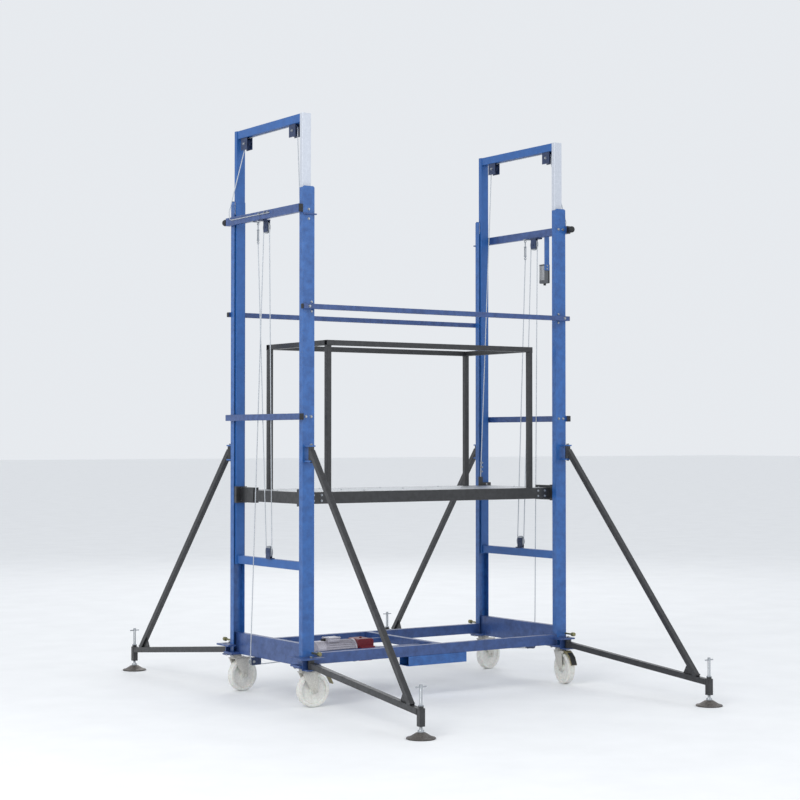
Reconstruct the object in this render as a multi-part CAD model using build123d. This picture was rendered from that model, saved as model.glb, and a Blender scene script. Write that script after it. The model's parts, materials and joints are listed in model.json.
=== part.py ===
from build123d import *
import math
import os

# Lifting scaffold: a wheeled base with two telescoping masts and a work platform hung between them.
# X runs along the platform, Y across it, Z up. The origin is on the floor, midway between the masts.
# Left means the -X mast, front means the -Y side. All lengths are in millimetres.

# ---- driving dimensions ----
MAST_X = 955            # centre plane of each mast
POST_Y = 415            # centre of each outer post
POST_WIDE, POST_DEEP, POST_WALL = 80, 40, 4
POST_FOOT, POST_TOP = 250, 3065
INNER_WIDE, INNER_DEEP, INNER_WALL = 60, 30, 2.5
INNER_Y = 396           # centre of each inner post
INNER_FOOT, INNER_TOP = 793, 3500
RAIL_DEEP, RAIL_WIDE = 64, 40
END_BEAM_BOTTOM, END_BEAM_TOP = 236, 368
CROSSBAR_Z, CROSSBAR_HIGH = 2932, 50
MID_RUNG_Z, MID_RUNG_HIGH = 1705, 38
LADDER_BAR_WIDE = 30    # crossbars and rungs, across the outside of the posts
TIE_BAR_Z, TIE_BAR = 2353, 30
LOWER_RUNG_Z, FRAME_BAR, RUNG_WIDE = 823, 50, 40
DECK_TOP, DECK_BEAM = 1258, 70
GUARD_X, GUARD_Y, GUARD_TOP, GUARD_TUBE = 765, 345, 2166, 32
ROPE_X, ROPE_R = MAST_X + 25, 3
RISER_FOOT_X = MAST_X + 49   # the riser leans out at its foot, clear of the fall that crosses it
SHEAVE_R, SHEAVE_ROPE_R, SHEAVE_THICK, CHEEK = 36, 33, 12, 2.5
BASE_SHEAVE_R, BASE_ROPE_R, BASE_SHEAVE_THICK, BASE_SHEAVE_Z = 24, 20, 13.4, 211
HOIST_SHEAVE_Z, LOWER_SHEAVE_Z, TOP_SHEAVE_Z = 2860, 892, 3412
HOUSING_WIDE = 40         # top rope blocks, over their side plates
AXLE_R = 5
TOP_SHEAVE_ANCHOR_Y, TOP_SHEAVE_FALL_Y = 307, 276
TURNBUCKLE_FOOT = 2762
DRUM_X, DRUM_Z, DRUM_R, DRUM_FLANGE_R = -400, 250, 35, 55
CASE_HALF = 58            # gear case, either side of the drum's axis along the base
DRUM_Y0, DRUM_Y1 = -76, 186
WHEEL_R, WHEEL_WIDE, TRAIL = 100, 46, 50
CASTER_X, CASTER_Y, CASTER_TOP = 965, 415, 240
PEDAL_X, PEDAL_Z, PEDAL_PIN_R = 77, 206, 3
HINGE_X, HINGE_Y, HINGE_PIN_R = 968, 488, 8
HINGE_UPPER_Z, HINGE_LOWER_Z = 286, 222
BRACE_TOP_Z, BRACE_DROP, BRACE_RISE = 1505, 58, 23
ARM_REACH, ARM_TUBE, BRACE_TUBE, SLEEVE_TUBE = 1218, 35, 32, 34
ARM_Z0, ARM_Z1 = 254, 140
OUTRIGGER_SPLAY = 3.2   # degrees away from straight ahead, outward
ROD_R, FOOT_R, ROD_TOP = 9, 79, 285
GAP = 0.3               # running gap between parts that slide on each other

SIDES = {"left": -1, "right": 1}
ENDS = {"front": -1, "rear": 1}
# the direction in which each caster trails, in degrees from +X
CASTER_TRAIL = {"front_left": -5, "rear_left": 8, "front_right": -100, "rear_right": 12}
# where each mast's hoist rope runs across the mast, and which side of the sheaves it climbs
HOIST = {
    "left": {"sheave_y": 15, "hook_y": 120, "lower_y": -20, "riser_y": 165, "riser_side": 1},
    "right": {"sheave_y": -130, "hook_y": -34, "lower_y": 20, "riser_y": -99, "riser_side": -1},
}


def box(x0, x1, y0, y1, z0, z1):
    size = (abs(x1 - x0), abs(y1 - y0), abs(z1 - z0))
    return Pos((x0 + x1) / 2, (y0 + y1) / 2, (z0 + z1) / 2) * Box(*size)


def mast_box(side, x0, x1, y0, y1, z0, z1):
    """A box given by distances outward from the middle of the base."""
    return box(side * x0, side * x1, y0, y1, z0, z1)


def rod(start, end, radius):
    start, end = Vector(*start), Vector(*end)
    plane = Plane(origin=start, z_dir=end - start)
    return extrude(plane * Circle(radius), amount=(end - start).length)


def bar(start, end, wide, high, wall=0, up=(0, 0, 1), corner=3):
    """A straight rounded tube (or solid bar with no wall) whose high side leans towards up."""
    start, end, up = Vector(*start), Vector(*end), Vector(*up)
    along = (end - start).normalized()
    plane = Plane(origin=start, x_dir=up.cross(along), z_dir=along)
    length = (end - start).length
    solid = extrude(plane * RectangleRounded(wide, high, corner), amount=length)
    if wall:
        solid -= extrude(plane * Rectangle(wide - 2 * wall, high - 2 * wall), amount=length)
    return solid


def rope(points, radius, bend):
    """A round rope along straight runs joined by tangent arcs, one bend radius at each corner."""
    path = FilletPolyline(*points, radius=bend)
    start = path @ 0
    section = Plane(origin=start, z_dir=path % 0) * Circle(radius)
    return sweep(section, path=path)


def sheave(centre, axis, outer, groove_r, thick, floor=2.8):
    """A grooved wheel on a fixed axle; floor is half the width of the groove's bottom."""
    half, lip, bottom = thick / 2, 1.2, groove_r - 4
    outline = Polyline(
        (AXLE_R + 0.06, -half), (outer, -half), (outer, lip - half), (bottom, -floor), (bottom, floor),
        (outer, half - lip), (outer, half), (AXLE_R + 0.06, half), close=True)
    wheel = revolve(make_face(outline), axis=Axis.Y)
    return Pos(*centre) * (Rot(0, 0, -90) * wheel if axis == "X" else wheel)


def corner_names():
    for end_name, t in ENDS.items():
        for side_name, s in SIDES.items():
            yield f"{end_name}_{side_name}", s, t


def save(name, solids):
    shape = solids[0] if len(solids) == 1 else Compound(children=list(solids))
    export_step(shape, f"parts/{name}.step")


# ---- welded base ----
def base_frame():
    solids = []
    inner_x = MAST_X - POST_WIDE / 2
    rail_top = POST_FOOT + RAIL_DEEP
    for t in ENDS.values():
        z = POST_FOOT + RAIL_DEEP / 2
        solids.append(bar((-inner_x, t * POST_Y, z), (inner_x, t * POST_Y, z), RAIL_WIDE, RAIL_DEEP, 3))
    for s in SIDES.values():
        z = (END_BEAM_BOTTOM + END_BEAM_TOP) / 2
        reach = POST_Y + POST_DEEP / 2 - POST_WALL
        x = s * (MAST_X - 7)
        solids.append(bar((x, -reach, z), (x, reach, z), 40, END_BEAM_TOP - END_BEAM_BOTTOM, 4))
    inside = POST_Y - RAIL_WIDE / 2
    solids.append(bar((13, -inside, rail_top - 25), (13, inside, rail_top - 25), 40, 50, 3))
    for y in (-217, 217):
        end_x = MAST_X - 27
        solids.append(bar((-end_x, y, 279), (-7, y, 279), 30, 30, 2.5))
    for _, s, t in corner_names():
        solids.append(corner_bracket(s, t))
    return solids


def corner_bracket(s, t):
    """Caster plate, outrigger hinge back plate and the hinge's two ears, welded round the post's foot."""
    plate = mast_box(s, 880, 1030, t * 355, t * 458, CASTER_TOP, POST_FOOT)
    beam_x = MAST_X - 7
    plate -= mast_box(s, beam_x - 20, beam_x + 20, t * 350, t * 431, CASTER_TOP - 1, POST_FOOT + 1)
    back = mast_box(s, HINGE_X - 45, HINGE_X + 45, t * 458, t * 466, HINGE_LOWER_Z, HINGE_UPPER_Z + 10)
    outer_x = 1050 if s < 0 else 1004
    upper = mast_box(s, 886, outer_x, t * 435, t * 512, HINGE_UPPER_Z, HINGE_UPPER_Z + 10)
    if s < 0:
        upper += mast_box(s, 995, outer_x, t * 363, t * 435, HINGE_UPPER_Z, HINGE_UPPER_Z + 10)
    lower = mast_box(s, HINGE_X - 40, HINGE_X + 40, t * 466, t * 512, HINGE_LOWER_Z, HINGE_LOWER_Z + 8)
    bracket = plate + back + upper + lower
    pin_hole = Pos(s * HINGE_X, t * HINGE_Y, 260) * Cylinder(HINGE_PIN_R + 0.1, 160)
    return (bracket - pin_hole).solid()


def underframe_box():
    return [bar((-240, -385, 220), (196, -385, 220), 100, 60, 3)]


def lock_knobs():
    """Hand screws that clamp the outriggers, one at each post's foot."""
    solids = []
    for _, s, t in corner_names():
        x = s * (MAST_X + (33 if s != t else -27))
        y = t * (POST_Y + POST_DEEP / 2)
        screw = rod((x, y, 318), (x, y + t * 62, 318), 6)
        grip = rod((x, y + t * 62, 318), (x, y + t * 92, 318), 13)
        solids.append((screw + grip).solid())
    return solids


# ---- outer masts ----
def mast_post(s, t):
    """C section, mouth towards the middle of the mast, as web and flanges, with a hinge on its back."""
    back_y = t * (POST_Y + POST_DEEP / 2)
    mouth_y = t * (POST_Y - POST_DEEP / 2)
    half = POST_WIDE / 2
    web = mast_box(s, MAST_X - half, MAST_X + half, back_y - t * POST_WALL, back_y, POST_FOOT, POST_TOP)
    edges = web.edges().filter_by(Axis.Y).group_by(Axis.Z)[-1]
    solids = [chamfer(edges, 8)]
    for k in (-1, 1):
        solids.append(mast_box(s, MAST_X + k * half, MAST_X + k * (half - POST_WALL), mouth_y,
                               back_y - t * POST_WALL, POST_FOOT, POST_TOP - 8))
    for z in (BRACE_TOP_Z - BRACE_DROP - 8, BRACE_TOP_Z + BRACE_RISE):
        ear = mast_box(s, HINGE_X - 18, HINGE_X + 18, back_y, t * (HINGE_Y + 18), z, z + 8)
        solids.append(ear - Pos(s * HINGE_X, t * HINGE_Y, z + 4) * Cylinder(HINGE_PIN_R + 0.1, 20))
    return solids


def ladder_bar(s, y0, y1, z, high):
    x = s * (MAST_X + POST_WIDE / 2 + LADDER_BAR_WIDE / 2)
    return bar((x, y0, z), (x, y1, z), LADDER_BAR_WIDE, high, 2.5)


def mast_crossbars():
    """Upper crossbars; each runs a little past one post."""
    post_face = POST_Y + POST_DEEP / 2
    far_face = post_face + 12
    return [ladder_bar(s, s * post_face, -s * far_face, CROSSBAR_Z, CROSSBAR_HIGH) for s in SIDES.values()]


def crossbar_knobs():
    """Round hand knobs on the long ends of the crossbars, each on a short neck."""
    solids = []
    post_face = POST_Y + POST_DEEP / 2
    for s in SIDES.values():
        x = s * (MAST_X + POST_WIDE / 2 + LADDER_BAR_WIDE / 2)
        plate = Pos(x, -s * (post_face + 14), CROSSBAR_Z) * Box(LADDER_BAR_WIDE, 4, CROSSBAR_HIGH)
        neck = rod((x, -s * (post_face + 16), CROSSBAR_Z), (x, -s * (post_face + 28), CROSSBAR_Z), 9)
        knob = rod((x, -s * (post_face + 28), CROSSBAR_Z), (x, -s * (post_face + 60), CROSSBAR_Z), 21)
        solids.append((plate + neck + fillet(knob.edges(), 6)).solid())
    return solids


def mast_rungs():
    reach = POST_Y + POST_DEEP / 2 + 12
    return [ladder_bar(s, -reach, reach, MID_RUNG_Z, MID_RUNG_HIGH) for s in SIDES.values()]


def tie_bars():
    reach = MAST_X + POST_WIDE / 2 + 10
    solids = []
    for t in ENDS.values():
        y = t * (POST_Y + POST_DEEP / 2 + TIE_BAR / 2)
        solids.append(bar((-reach, y, TIE_BAR_Z), (reach, y, TIE_BAR_Z), TIE_BAR, TIE_BAR, 2.5))
    return solids


def slide_pads(s, t, z0, z1, outside):
    """Nylon strips between an inner post and the channel it slides in; outside strips are on the channel."""
    inner_x, inner_y = INNER_WIDE / 2, INNER_Y + INNER_DEEP / 2
    channel_x, channel_y = POST_WIDE / 2 - POST_WALL, POST_Y + POST_DEEP / 2 - POST_WALL
    x0, x1 = (inner_x + GAP, channel_x) if outside else (inner_x, channel_x - GAP)
    y0, y1 = (inner_y + GAP, channel_y) if outside else (inner_y, channel_y - GAP)
    back = mast_box(s, MAST_X - 22, MAST_X + 22, t * y0, t * y1, z0, z1)
    side_y = t * (inner_y - 2)
    sides = [mast_box(s, MAST_X + k * x0, MAST_X + k * x1, t * 398, side_y, z0, z1) for k in (-1, 1)]
    return [back] + sides


def guide_pads():
    solids = []
    for _, s, t in corner_names():
        solids += slide_pads(s, t, POST_TOP - 85, POST_TOP - 10, outside=True)
    return solids


# ---- sheaves and the blocks that hold them ----
def cheeks_x(s, mid_x, y, z0, z1, half_y):
    """Two cheek plates across a sheave whose axle runs along X."""
    gap = SHEAVE_THICK / 2 + 0.8
    return [mast_box(s, mid_x + k * gap, mid_x + k * (gap + CHEEK), y - half_y, y + half_y, z0, z1)
            for k in (-1, 1)]


def axle_x(s, mid_x, y, z):
    reach = SHEAVE_THICK / 2 + 6
    return rod((s * (mid_x - reach), y, z), (s * (mid_x + reach), y, z), AXLE_R)


def fixed_blocks():
    """Hoist blocks under the crossbars and the small guide blocks under the end beams."""
    solids = []
    crossbar_bottom = CROSSBAR_Z - CROSSBAR_HIGH / 2
    for name, s in SIDES.items():
        y = HOIST[name]["sheave_y"]
        plate = mast_box(s, ROPE_X - 10, MAST_X + 70, y - 28, y + 28, crossbar_bottom - 8, crossbar_bottom)
        block = plate
        for cheek in cheeks_x(s, ROPE_X, y, HOIST_SHEAVE_Z - 26, crossbar_bottom - 8, 26):
            block += cheek
        solids.append((block + axle_x(s, ROPE_X, y, HOIST_SHEAVE_Z)).solid())
        y = HOIST[name]["riser_y"]
        x = s * (RISER_FOOT_X - BASE_ROPE_R)
        guide = rod((x, y - 13, BASE_SHEAVE_Z), (x, y + 13, BASE_SHEAVE_Z), AXLE_R)
        for k in (-1, 1):
            guide += box(x + s * 14, s * (MAST_X - 22), y + k * 7, y + k * 10,
                         BASE_SHEAVE_Z - 20, END_BEAM_BOTTOM)
        solids += list(guide.solids())
    return solids


def turnbuckles():
    """Dead ends of the hoist ropes: a lug under each crossbar, an eye screw, the body and the lower eye."""
    solids = []
    crossbar_bottom = CROSSBAR_Z - CROSSBAR_HIGH / 2
    for name, s in SIDES.items():
        x, y = s * ROPE_X, HOIST[name]["hook_y"]
        part = mast_box(s, ROPE_X - 9, MAST_X + 70, y - 14, y + 14, crossbar_bottom - 6, crossbar_bottom)
        part += rod((x, y, crossbar_bottom - 6), (x, y, TURNBUCKLE_FOOT), 4.5)
        part += rod((x, y, TURNBUCKLE_FOOT + 90), (x, y, TURNBUCKLE_FOOT + 20), 9)
        solids.append(part.solid())
    return solids


def inner_frame(s):
    """Telescoping frame: two tubes joined by a top bar and a lower rung."""
    inner_face = INNER_Y - INNER_DEEP / 2
    solids = []
    for t in ENDS.values():
        x, y = s * MAST_X, t * INNER_Y
        solids.append(bar((x, y, INNER_FOOT), (x, y, INNER_TOP), INNER_DEEP, INNER_WIDE, INNER_WALL,
                          up=(1, 0, 0), corner=2.4))
    for z, wide in ((INNER_TOP - FRAME_BAR / 2, FRAME_BAR), (LOWER_RUNG_Z, RUNG_WIDE)):
        solids.append(bar((s * MAST_X, -inner_face, z), (s * MAST_X, inner_face, z), wide, FRAME_BAR, 3))
    return solids


def inner_fittings(name, s):
    """Rope blocks welded to the inner frame, and the nylon shoes at the feet of its posts."""
    solids = []
    for t in ENDS.values():
        solids += slide_pads(s, t, INNER_FOOT, INNER_FOOT + 90, outside=False)
    bar_bottom = INNER_TOP - FRAME_BAR
    x = s * MAST_X
    for y in top_sheave_places(s):
        block = axle_x(s, MAST_X, y, TOP_SHEAVE_Z)
        for k in (-1, 1):
            inside = x + k * (HOUSING_WIDE / 2 - CHEEK)
            block += rod((x + k * (SHEAVE_THICK / 2 + 0.8), y, TOP_SHEAVE_Z), (inside, y, TOP_SHEAVE_Z), 9)
            block += box(inside, inside + k * CHEEK, y - 37, y + 37, TOP_SHEAVE_Z - 38, bar_bottom)
        solids += list(block.solids())
    y, rung_top = HOIST[name]["lower_y"], LOWER_RUNG_Z + FRAME_BAR / 2
    block = mast_box(s, MAST_X, ROPE_X + 9.3, y - 24, y + 24, rung_top, rung_top + 6)
    for cheek in cheeks_x(s, ROPE_X, y, rung_top, LOWER_SHEAVE_Z + 22, 24):
        block += cheek
    solids.append((block + axle_x(s, ROPE_X, y, LOWER_SHEAVE_Z)).solid())
    return solids


def top_sheave_places(s):
    """Y of the two sheaves under a top bar: the anchor side first, then the side above the platform rope."""
    anchor_side = -s
    return anchor_side * TOP_SHEAVE_ANCHOR_Y, -anchor_side * TOP_SHEAVE_FALL_Y


# ---- ropes ----
def hoist_rope(name, s):
    """From the drum, round the guide sheave under the end beam, up the mast and over the hoist sheave."""
    h = HOIST[name]
    low_z = BASE_SHEAVE_Z - BASE_ROPE_R
    winds_under = s < 0
    drum_side = -1 if winds_under else 1
    drum_point = (DRUM_X, 150 if winds_under else -50, DRUM_Z + drum_side * (DRUM_R + ROPE_R + 0.5))
    low_z -= BASE_ROPE_R * (drum_point[2] - low_z) / abs(s * RISER_FOOT_X - DRUM_X) + 0.3
    top_y = h["sheave_y"] + h["riser_side"] * SHEAVE_ROPE_R
    over_y = h["sheave_y"] - h["riser_side"] * SHEAVE_ROPE_R
    top_z = HOIST_SHEAVE_Z + SHEAVE_ROPE_R
    points = [drum_point, (s * RISER_FOOT_X, h["riser_y"], low_z), (s * ROPE_X, top_y, top_z),
              (s * ROPE_X, over_y, top_z), (s * ROPE_X, over_y, HOIST_SHEAVE_Z - 4)]
    return rope(points, ROPE_R, [BASE_ROPE_R - 1, SHEAVE_ROPE_R - 3, SHEAVE_ROPE_R - 3])


def hoist_fall(name, s):
    """From the hoist sheave down round the lower sheave and up to the turnbuckle."""
    h = HOIST[name]
    side = h["riser_side"]
    x = s * ROPE_X
    over_y = h["sheave_y"] - side * SHEAVE_ROPE_R
    bottom_z = LOWER_SHEAVE_Z - SHEAVE_ROPE_R
    drop = HOIST_SHEAVE_Z - bottom_z
    y_fall, y_anchor = h["lower_y"] - SHEAVE_ROPE_R, h["lower_y"] + SHEAVE_ROPE_R
    y_fall -= SHEAVE_ROPE_R * (over_y - y_fall) / drop
    y_anchor -= SHEAVE_ROPE_R * (h["hook_y"] - y_anchor) / drop
    points = [(x, over_y, HOIST_SHEAVE_Z - 5.5), (x, y_fall, bottom_z), (x, y_anchor, bottom_z),
              (x, h["hook_y"], TURNBUCKLE_FOOT - 0.5)]
    return rope(points, ROPE_R, SHEAVE_ROPE_R - 3)


def anchor_rope(s):
    """Clamped on the crossbar's outer face, round its end, and up to the anchor-side top sheave."""
    k = -s
    bar_x = MAST_X + POST_WIDE / 2 + LADDER_BAR_WIDE + ROPE_R + 0.5
    sheave_y = k * (TOP_SHEAVE_ANCHOR_Y + SHEAVE_ROPE_R)
    points = [(s * bar_x, -k * 100, CROSSBAR_Z + 6), (s * bar_x, k * 380, CROSSBAR_Z + 6),
              (s * (bar_x - 1), k * 404, CROSSBAR_Z + 60), (s * MAST_X, sheave_y, TOP_SHEAVE_Z - 41)]
    return rope(points, ROPE_R, [20, 20])


def platform_rope(s):
    """Over both top sheaves and down to the eye on the platform's corner."""
    k = -s
    x = s * MAST_X
    up_y = k * (TOP_SHEAVE_ANCHOR_Y + SHEAVE_ROPE_R)
    down_y = -k * (TOP_SHEAVE_FALL_Y + SHEAVE_ROPE_R)
    top_z = TOP_SHEAVE_Z + SHEAVE_ROPE_R
    points = [(x, up_y, TOP_SHEAVE_Z - 39), (x, up_y, top_z),
              (x, down_y, top_z), (x, down_y, TOP_SHEAVE_Z - 60),
              (s * 890, -k * GUARD_Y, DECK_TOP + 60.5)]
    return rope(points, ROPE_R, [SHEAVE_ROPE_R - 3, SHEAVE_ROPE_R - 3, 20])


# ---- winch ----
def winch_motor():
    centre_y, centre_z = -142, 290
    near, flange_x = DRUM_X - CASE_HALF, DRUM_X - CASE_HALF - 12
    body = rod((near - 280, centre_y, centre_z), (flange_x, centre_y, centre_z), 58)
    flange = rod((flange_x, centre_y, centre_z), (near, centre_y, centre_z), 59)
    terminal = box(near - 200, near - 110, centre_y - 35, centre_y + 35, centre_z + 40, centre_z + 76)
    inlet = rod((near - 200, centre_y, centre_z + 62), (near - 230, centre_y, centre_z + 62), 9)
    return [(body + flange + terminal + inlet).solid()]


def winch_gearbox():
    """Worm box with the drum's shaft, and the plate that carries the shaft's far end."""
    case = box(DRUM_X - CASE_HALF, DRUM_X + CASE_HALF, -201, -84, 214, 348)
    case = fillet(case.edges().filter_by(Axis.Y), 18)
    shaft = rod((DRUM_X, -84, DRUM_Z), (DRUM_X, 202, DRUM_Z), 12)
    plate = box(DRUM_X - 30, DRUM_X + 30, 190, 202, 222, 294)
    foot = box(DRUM_X - 50, DRUM_X + 50, -230, -195, 294, 304)
    return [(case + shaft + plate + foot).solid()]


def winch_drum():
    core = rod((DRUM_X, DRUM_Y0, DRUM_Z), (DRUM_X, DRUM_Y1, DRUM_Z), DRUM_R)
    for y0, y1 in ((DRUM_Y0, DRUM_Y0 + 5), (44, 49), (DRUM_Y1 - 5, DRUM_Y1)):
        core += rod((DRUM_X, y0, DRUM_Z), (DRUM_X, y1, DRUM_Z), DRUM_FLANGE_R)
    core -= rod((DRUM_X, DRUM_Y0 - 1, DRUM_Z), (DRUM_X, DRUM_Y1 + 1, DRUM_Z), 12.1)
    return [core.solid()]


# ---- pendant control ----
PENDANT_X, PENDANT_Y, PENDANT_Z = 1056, -146, 2670
PENDANT = Location((PENDANT_X, PENDANT_Y, PENDANT_Z), (0, 0, 0))


def pendant_box():
    case = fillet(Box(46, 66, 128).edges(), 7)
    for z in (24, -16):
        case -= Pos(23, 0, z) * Rot(0, 90, 0) * Cylinder(11.5, 18)
    socket = Pos(0, 0, -70) * Cylinder(9, 14)
    hanger_y = PENDANT_Y - 33
    crossbar_face = MAST_X + POST_WIDE / 2 + LADDER_BAR_WIDE
    hanger = box(crossbar_face, 1066, hanger_y - 4, hanger_y, PENDANT_Z + 20, CROSSBAR_Z - 4)
    return [PENDANT * (case + socket), hanger]


def pendant_button(z):
    return [PENDANT * Pos(23.5, 0, z) * Rot(0, 90, 0) * Cylinder(11, 9)]


# ---- platform ----
def platform_frame():
    solids = []
    z = DECK_TOP - DECK_BEAM / 2
    end_x = MAST_X - 29
    for t in ENDS.values():
        solids.append(bar((-end_x, t * GUARD_Y, z), (end_x, t * GUARD_Y, z), 40, DECK_BEAM, 3))
    for s in SIDES.values():
        x = s * (end_x + 15)
        solids.append(bar((x, -365, z), (x, 365, z), 30, DECK_BEAM, 3))
    inside = GUARD_Y - 20
    for x in (-463, 0, 463):
        solids.append(bar((x, -inside, DECK_TOP - 26), (x, inside, DECK_TOP - 26), 40, 40, 2.5))
    for s in SIDES.values():
        eye_y = s * GUARD_Y
        eye = mast_box(s, 875, 905, eye_y - 5, eye_y + 5, DECK_TOP, DECK_TOP + 60)
        solids.append(eye)
    return solids


def platform_carriages():
    """Guides that run on the inner posts, and the thicker sleeve on one end of each end beam."""
    solids = []
    for _, s, t in corner_names():
        block = mast_box(s, MAST_X - 37.5, MAST_X + 37.5, t * 365, t * 393, DECK_TOP - 82, DECK_TOP + 20)
        slot = INNER_WIDE / 2 + GAP
        block -= mast_box(s, MAST_X - slot, MAST_X + slot, t * (INNER_Y - INNER_DEEP / 2 - GAP), t * 394,
                          DECK_TOP - 83, DECK_TOP + 21)
        solids.append(block.solid())
        if s != t:
            sleeve = mast_box(s, MAST_X - 33, MAST_X + 5, t * 210, t * 365, DECK_TOP - 78, DECK_TOP + 16)
            sleeve -= mast_box(s, MAST_X - 29.2, MAST_X + 1.2, t * 209, t * 366,
                               DECK_TOP - 70.2, DECK_TOP + 0.2)
            sleeve -= mast_box(s, MAST_X - 50, MAST_X - 29, t * 320, t * 370, DECK_TOP - 71, DECK_TOP + 1)
            solids += list(sleeve.solids())
    return solids


def deck_plates():
    thick, gap = 6, 2
    width = (2 * (MAST_X - 35) - 2 * gap) / 3
    solids = []
    for i in (-1, 0, 1):
        middle = i * (width + gap)
        reach = GUARD_Y - 21
        solids.append(box(middle - width / 2, middle + width / 2, -reach, reach, DECK_TOP - thick, DECK_TOP))
    return solids


def guardrail():
    solids = []
    half = GUARD_TUBE / 2
    z = GUARD_TOP - half
    for _, s, t in corner_names():
        x, y = s * GUARD_X, t * GUARD_Y
        solids.append(bar((x, y, DECK_TOP), (x, y, GUARD_TOP - GUARD_TUBE), GUARD_TUBE, GUARD_TUBE, 2,
                          up=(1, 0, 0)))
    for t in ENDS.values():
        reach = GUARD_X + half
        solids.append(bar((-reach, t * GUARD_Y, z), (reach, t * GUARD_Y, z), GUARD_TUBE, GUARD_TUBE, 2))
    for s in SIDES.values():
        reach = GUARD_Y - half
        solids.append(bar((s * GUARD_X, -reach, z), (s * GUARD_X, reach, z), GUARD_TUBE, GUARD_TUBE, 2))
    return solids


# ---- casters: built trailing towards +X about the swivel axis, then turned and placed ----
def placed_caster(shape, name, s, t):
    return Location((s * CASTER_X, t * CASTER_Y, 0), (0, 0, CASTER_TRAIL[name])) * shape


def caster_fork():
    plate_z = CASTER_TOP - 8
    fork = Pos(0, 0, plate_z - 11) * Cylinder(37, 22 - 2 * GAP)
    fork += box(-36, 66, -33, 33, 205, 211)
    for k in (-1, 1):
        leg = make_face(Polyline((-30, 205), (66, 205), (TRAIL + 22, WHEEL_R), (TRAIL, WHEEL_R - 22),
                                 (TRAIL - 22, WHEEL_R), close=True))
        leg = extrude(Plane.XZ * leg, amount=5)
        fork += Pos(0, 33 if k > 0 else -28, 0) * leg
        fork += box(60, 86, k * 28, k * 33, 194, 213)
    axle = rod((TRAIL, -40, WHEEL_R), (TRAIL, 40, WHEEL_R), 8)
    pin = rod((PEDAL_X, -38, PEDAL_Z), (PEDAL_X, 38, PEDAL_Z), PEDAL_PIN_R)
    return (fork + axle + pin).solid()


def caster_top_plate():
    return Pos(0, 0, CASTER_TOP - 4) * Box(110, 84, 8)


def caster_wheel():
    half = WHEEL_WIDE / 2
    outline = Polyline((8.06, -27), (22, -27), (22, -12), (78, -12), (82, -half), (WHEEL_R - 5, -half),
                       (WHEEL_R, -half + 7), (WHEEL_R, half - 7), (WHEEL_R - 5, half), (82, half), (78, 12),
                       (22, 12), (22, 27), (8.06, 27), close=True)
    return Pos(TRAIL, 0, WHEEL_R) * revolve(make_face(outline), axis=Axis.Y)


def caster_pedal():
    """Brake pedal on a pin between the fork's ears, behind the wheel."""
    outline = Polyline((70, 206), (76, 214), (118, 206), (156, 179), (179, 132), (171, 128), (148, 170),
                       (112, 196), (78, 199), close=True)
    plate = extrude(Plane.XZ * make_face(outline), amount=44)
    return Pos(0, 22, 0) * plate - rod((PEDAL_X, -30, PEDAL_Z), (PEDAL_X, 30, PEDAL_Z), PEDAL_PIN_R + 0.06)


# ---- outriggers: built pointing along +X from the hinge axis, then turned and placed ----
def outrigger_angle(s, t):
    straight = 90 * t
    return straight - s * t * OUTRIGGER_SPLAY


def placed_outrigger(shape, s, t):
    return Location((s * HINGE_X, t * HINGE_Y, 0), (0, 0, outrigger_angle(s, t))) * shape


def outrigger():
    """Lower arm, brace and jack sleeve, welded into a triangle with a hinge barrel at top and bottom."""
    lower_barrel_top, lower_barrel_bottom = HINGE_UPPER_Z - GAP, HINGE_LOWER_Z + 8 + GAP
    lower_hinge = rod((0, 0, lower_barrel_bottom), (0, 0, lower_barrel_top), 19)
    lower_hinge += rod((0, 0, HINGE_LOWER_Z - 4), (0, 0, HINGE_UPPER_Z + 17), HINGE_PIN_R)
    upper_hinge = rod((0, 0, BRACE_TOP_Z - BRACE_DROP + GAP), (0, 0, BRACE_TOP_Z + BRACE_RISE - GAP), 17)
    upper_hinge += rod((0, 0, BRACE_TOP_Z - BRACE_DROP - 14), (0, 0, BRACE_TOP_Z + BRACE_RISE + 15),
                       HINGE_PIN_R)
    arm_end = ARM_REACH - SLEEVE_TUBE / 2
    arm = bar((6, 0, ARM_Z0), (arm_end + 2, 0, ARM_Z1), ARM_TUBE, ARM_TUBE)
    brace_foot = 1122
    arm_top = ARM_Z0 + (ARM_Z1 - ARM_Z0) * brace_foot / arm_end + ARM_TUBE / 2
    brace = bar((6, 0, BRACE_TOP_Z - 6), (brace_foot, 0, arm_top - 4), BRACE_TUBE, BRACE_TUBE, corner=2.5)
    sleeve = bar((ARM_REACH, 0, 65), (ARM_REACH, 0, 160), SLEEVE_TUBE, SLEEVE_TUBE, up=(1, 0, 0))
    sleeve += Pos(ARM_REACH, 0, 166) * Cylinder(15, 12)
    sleeve -= Pos(ARM_REACH, 0, 120) * Cylinder(ROD_R + 0.1, 160)
    gusset = make_face(Polyline((1000, 150), (1120, 140), (1120, 215), (1060, 262), close=True))
    gusset = Pos(0, 3, 0) * extrude(Plane.XZ * gusset, amount=6)
    return cut_to_fit([lower_hinge, upper_hinge, sleeve, arm, brace, gusset])


def cut_to_fit(pieces):
    """Welded pieces as separate solids: each is trimmed where it meets an earlier one."""
    fitted = []
    for piece in pieces:
        for earlier in fitted:
            piece -= earlier
        fitted.append(piece.solids().sort_by(SortBy.VOLUME)[-1])
    return fitted


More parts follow.
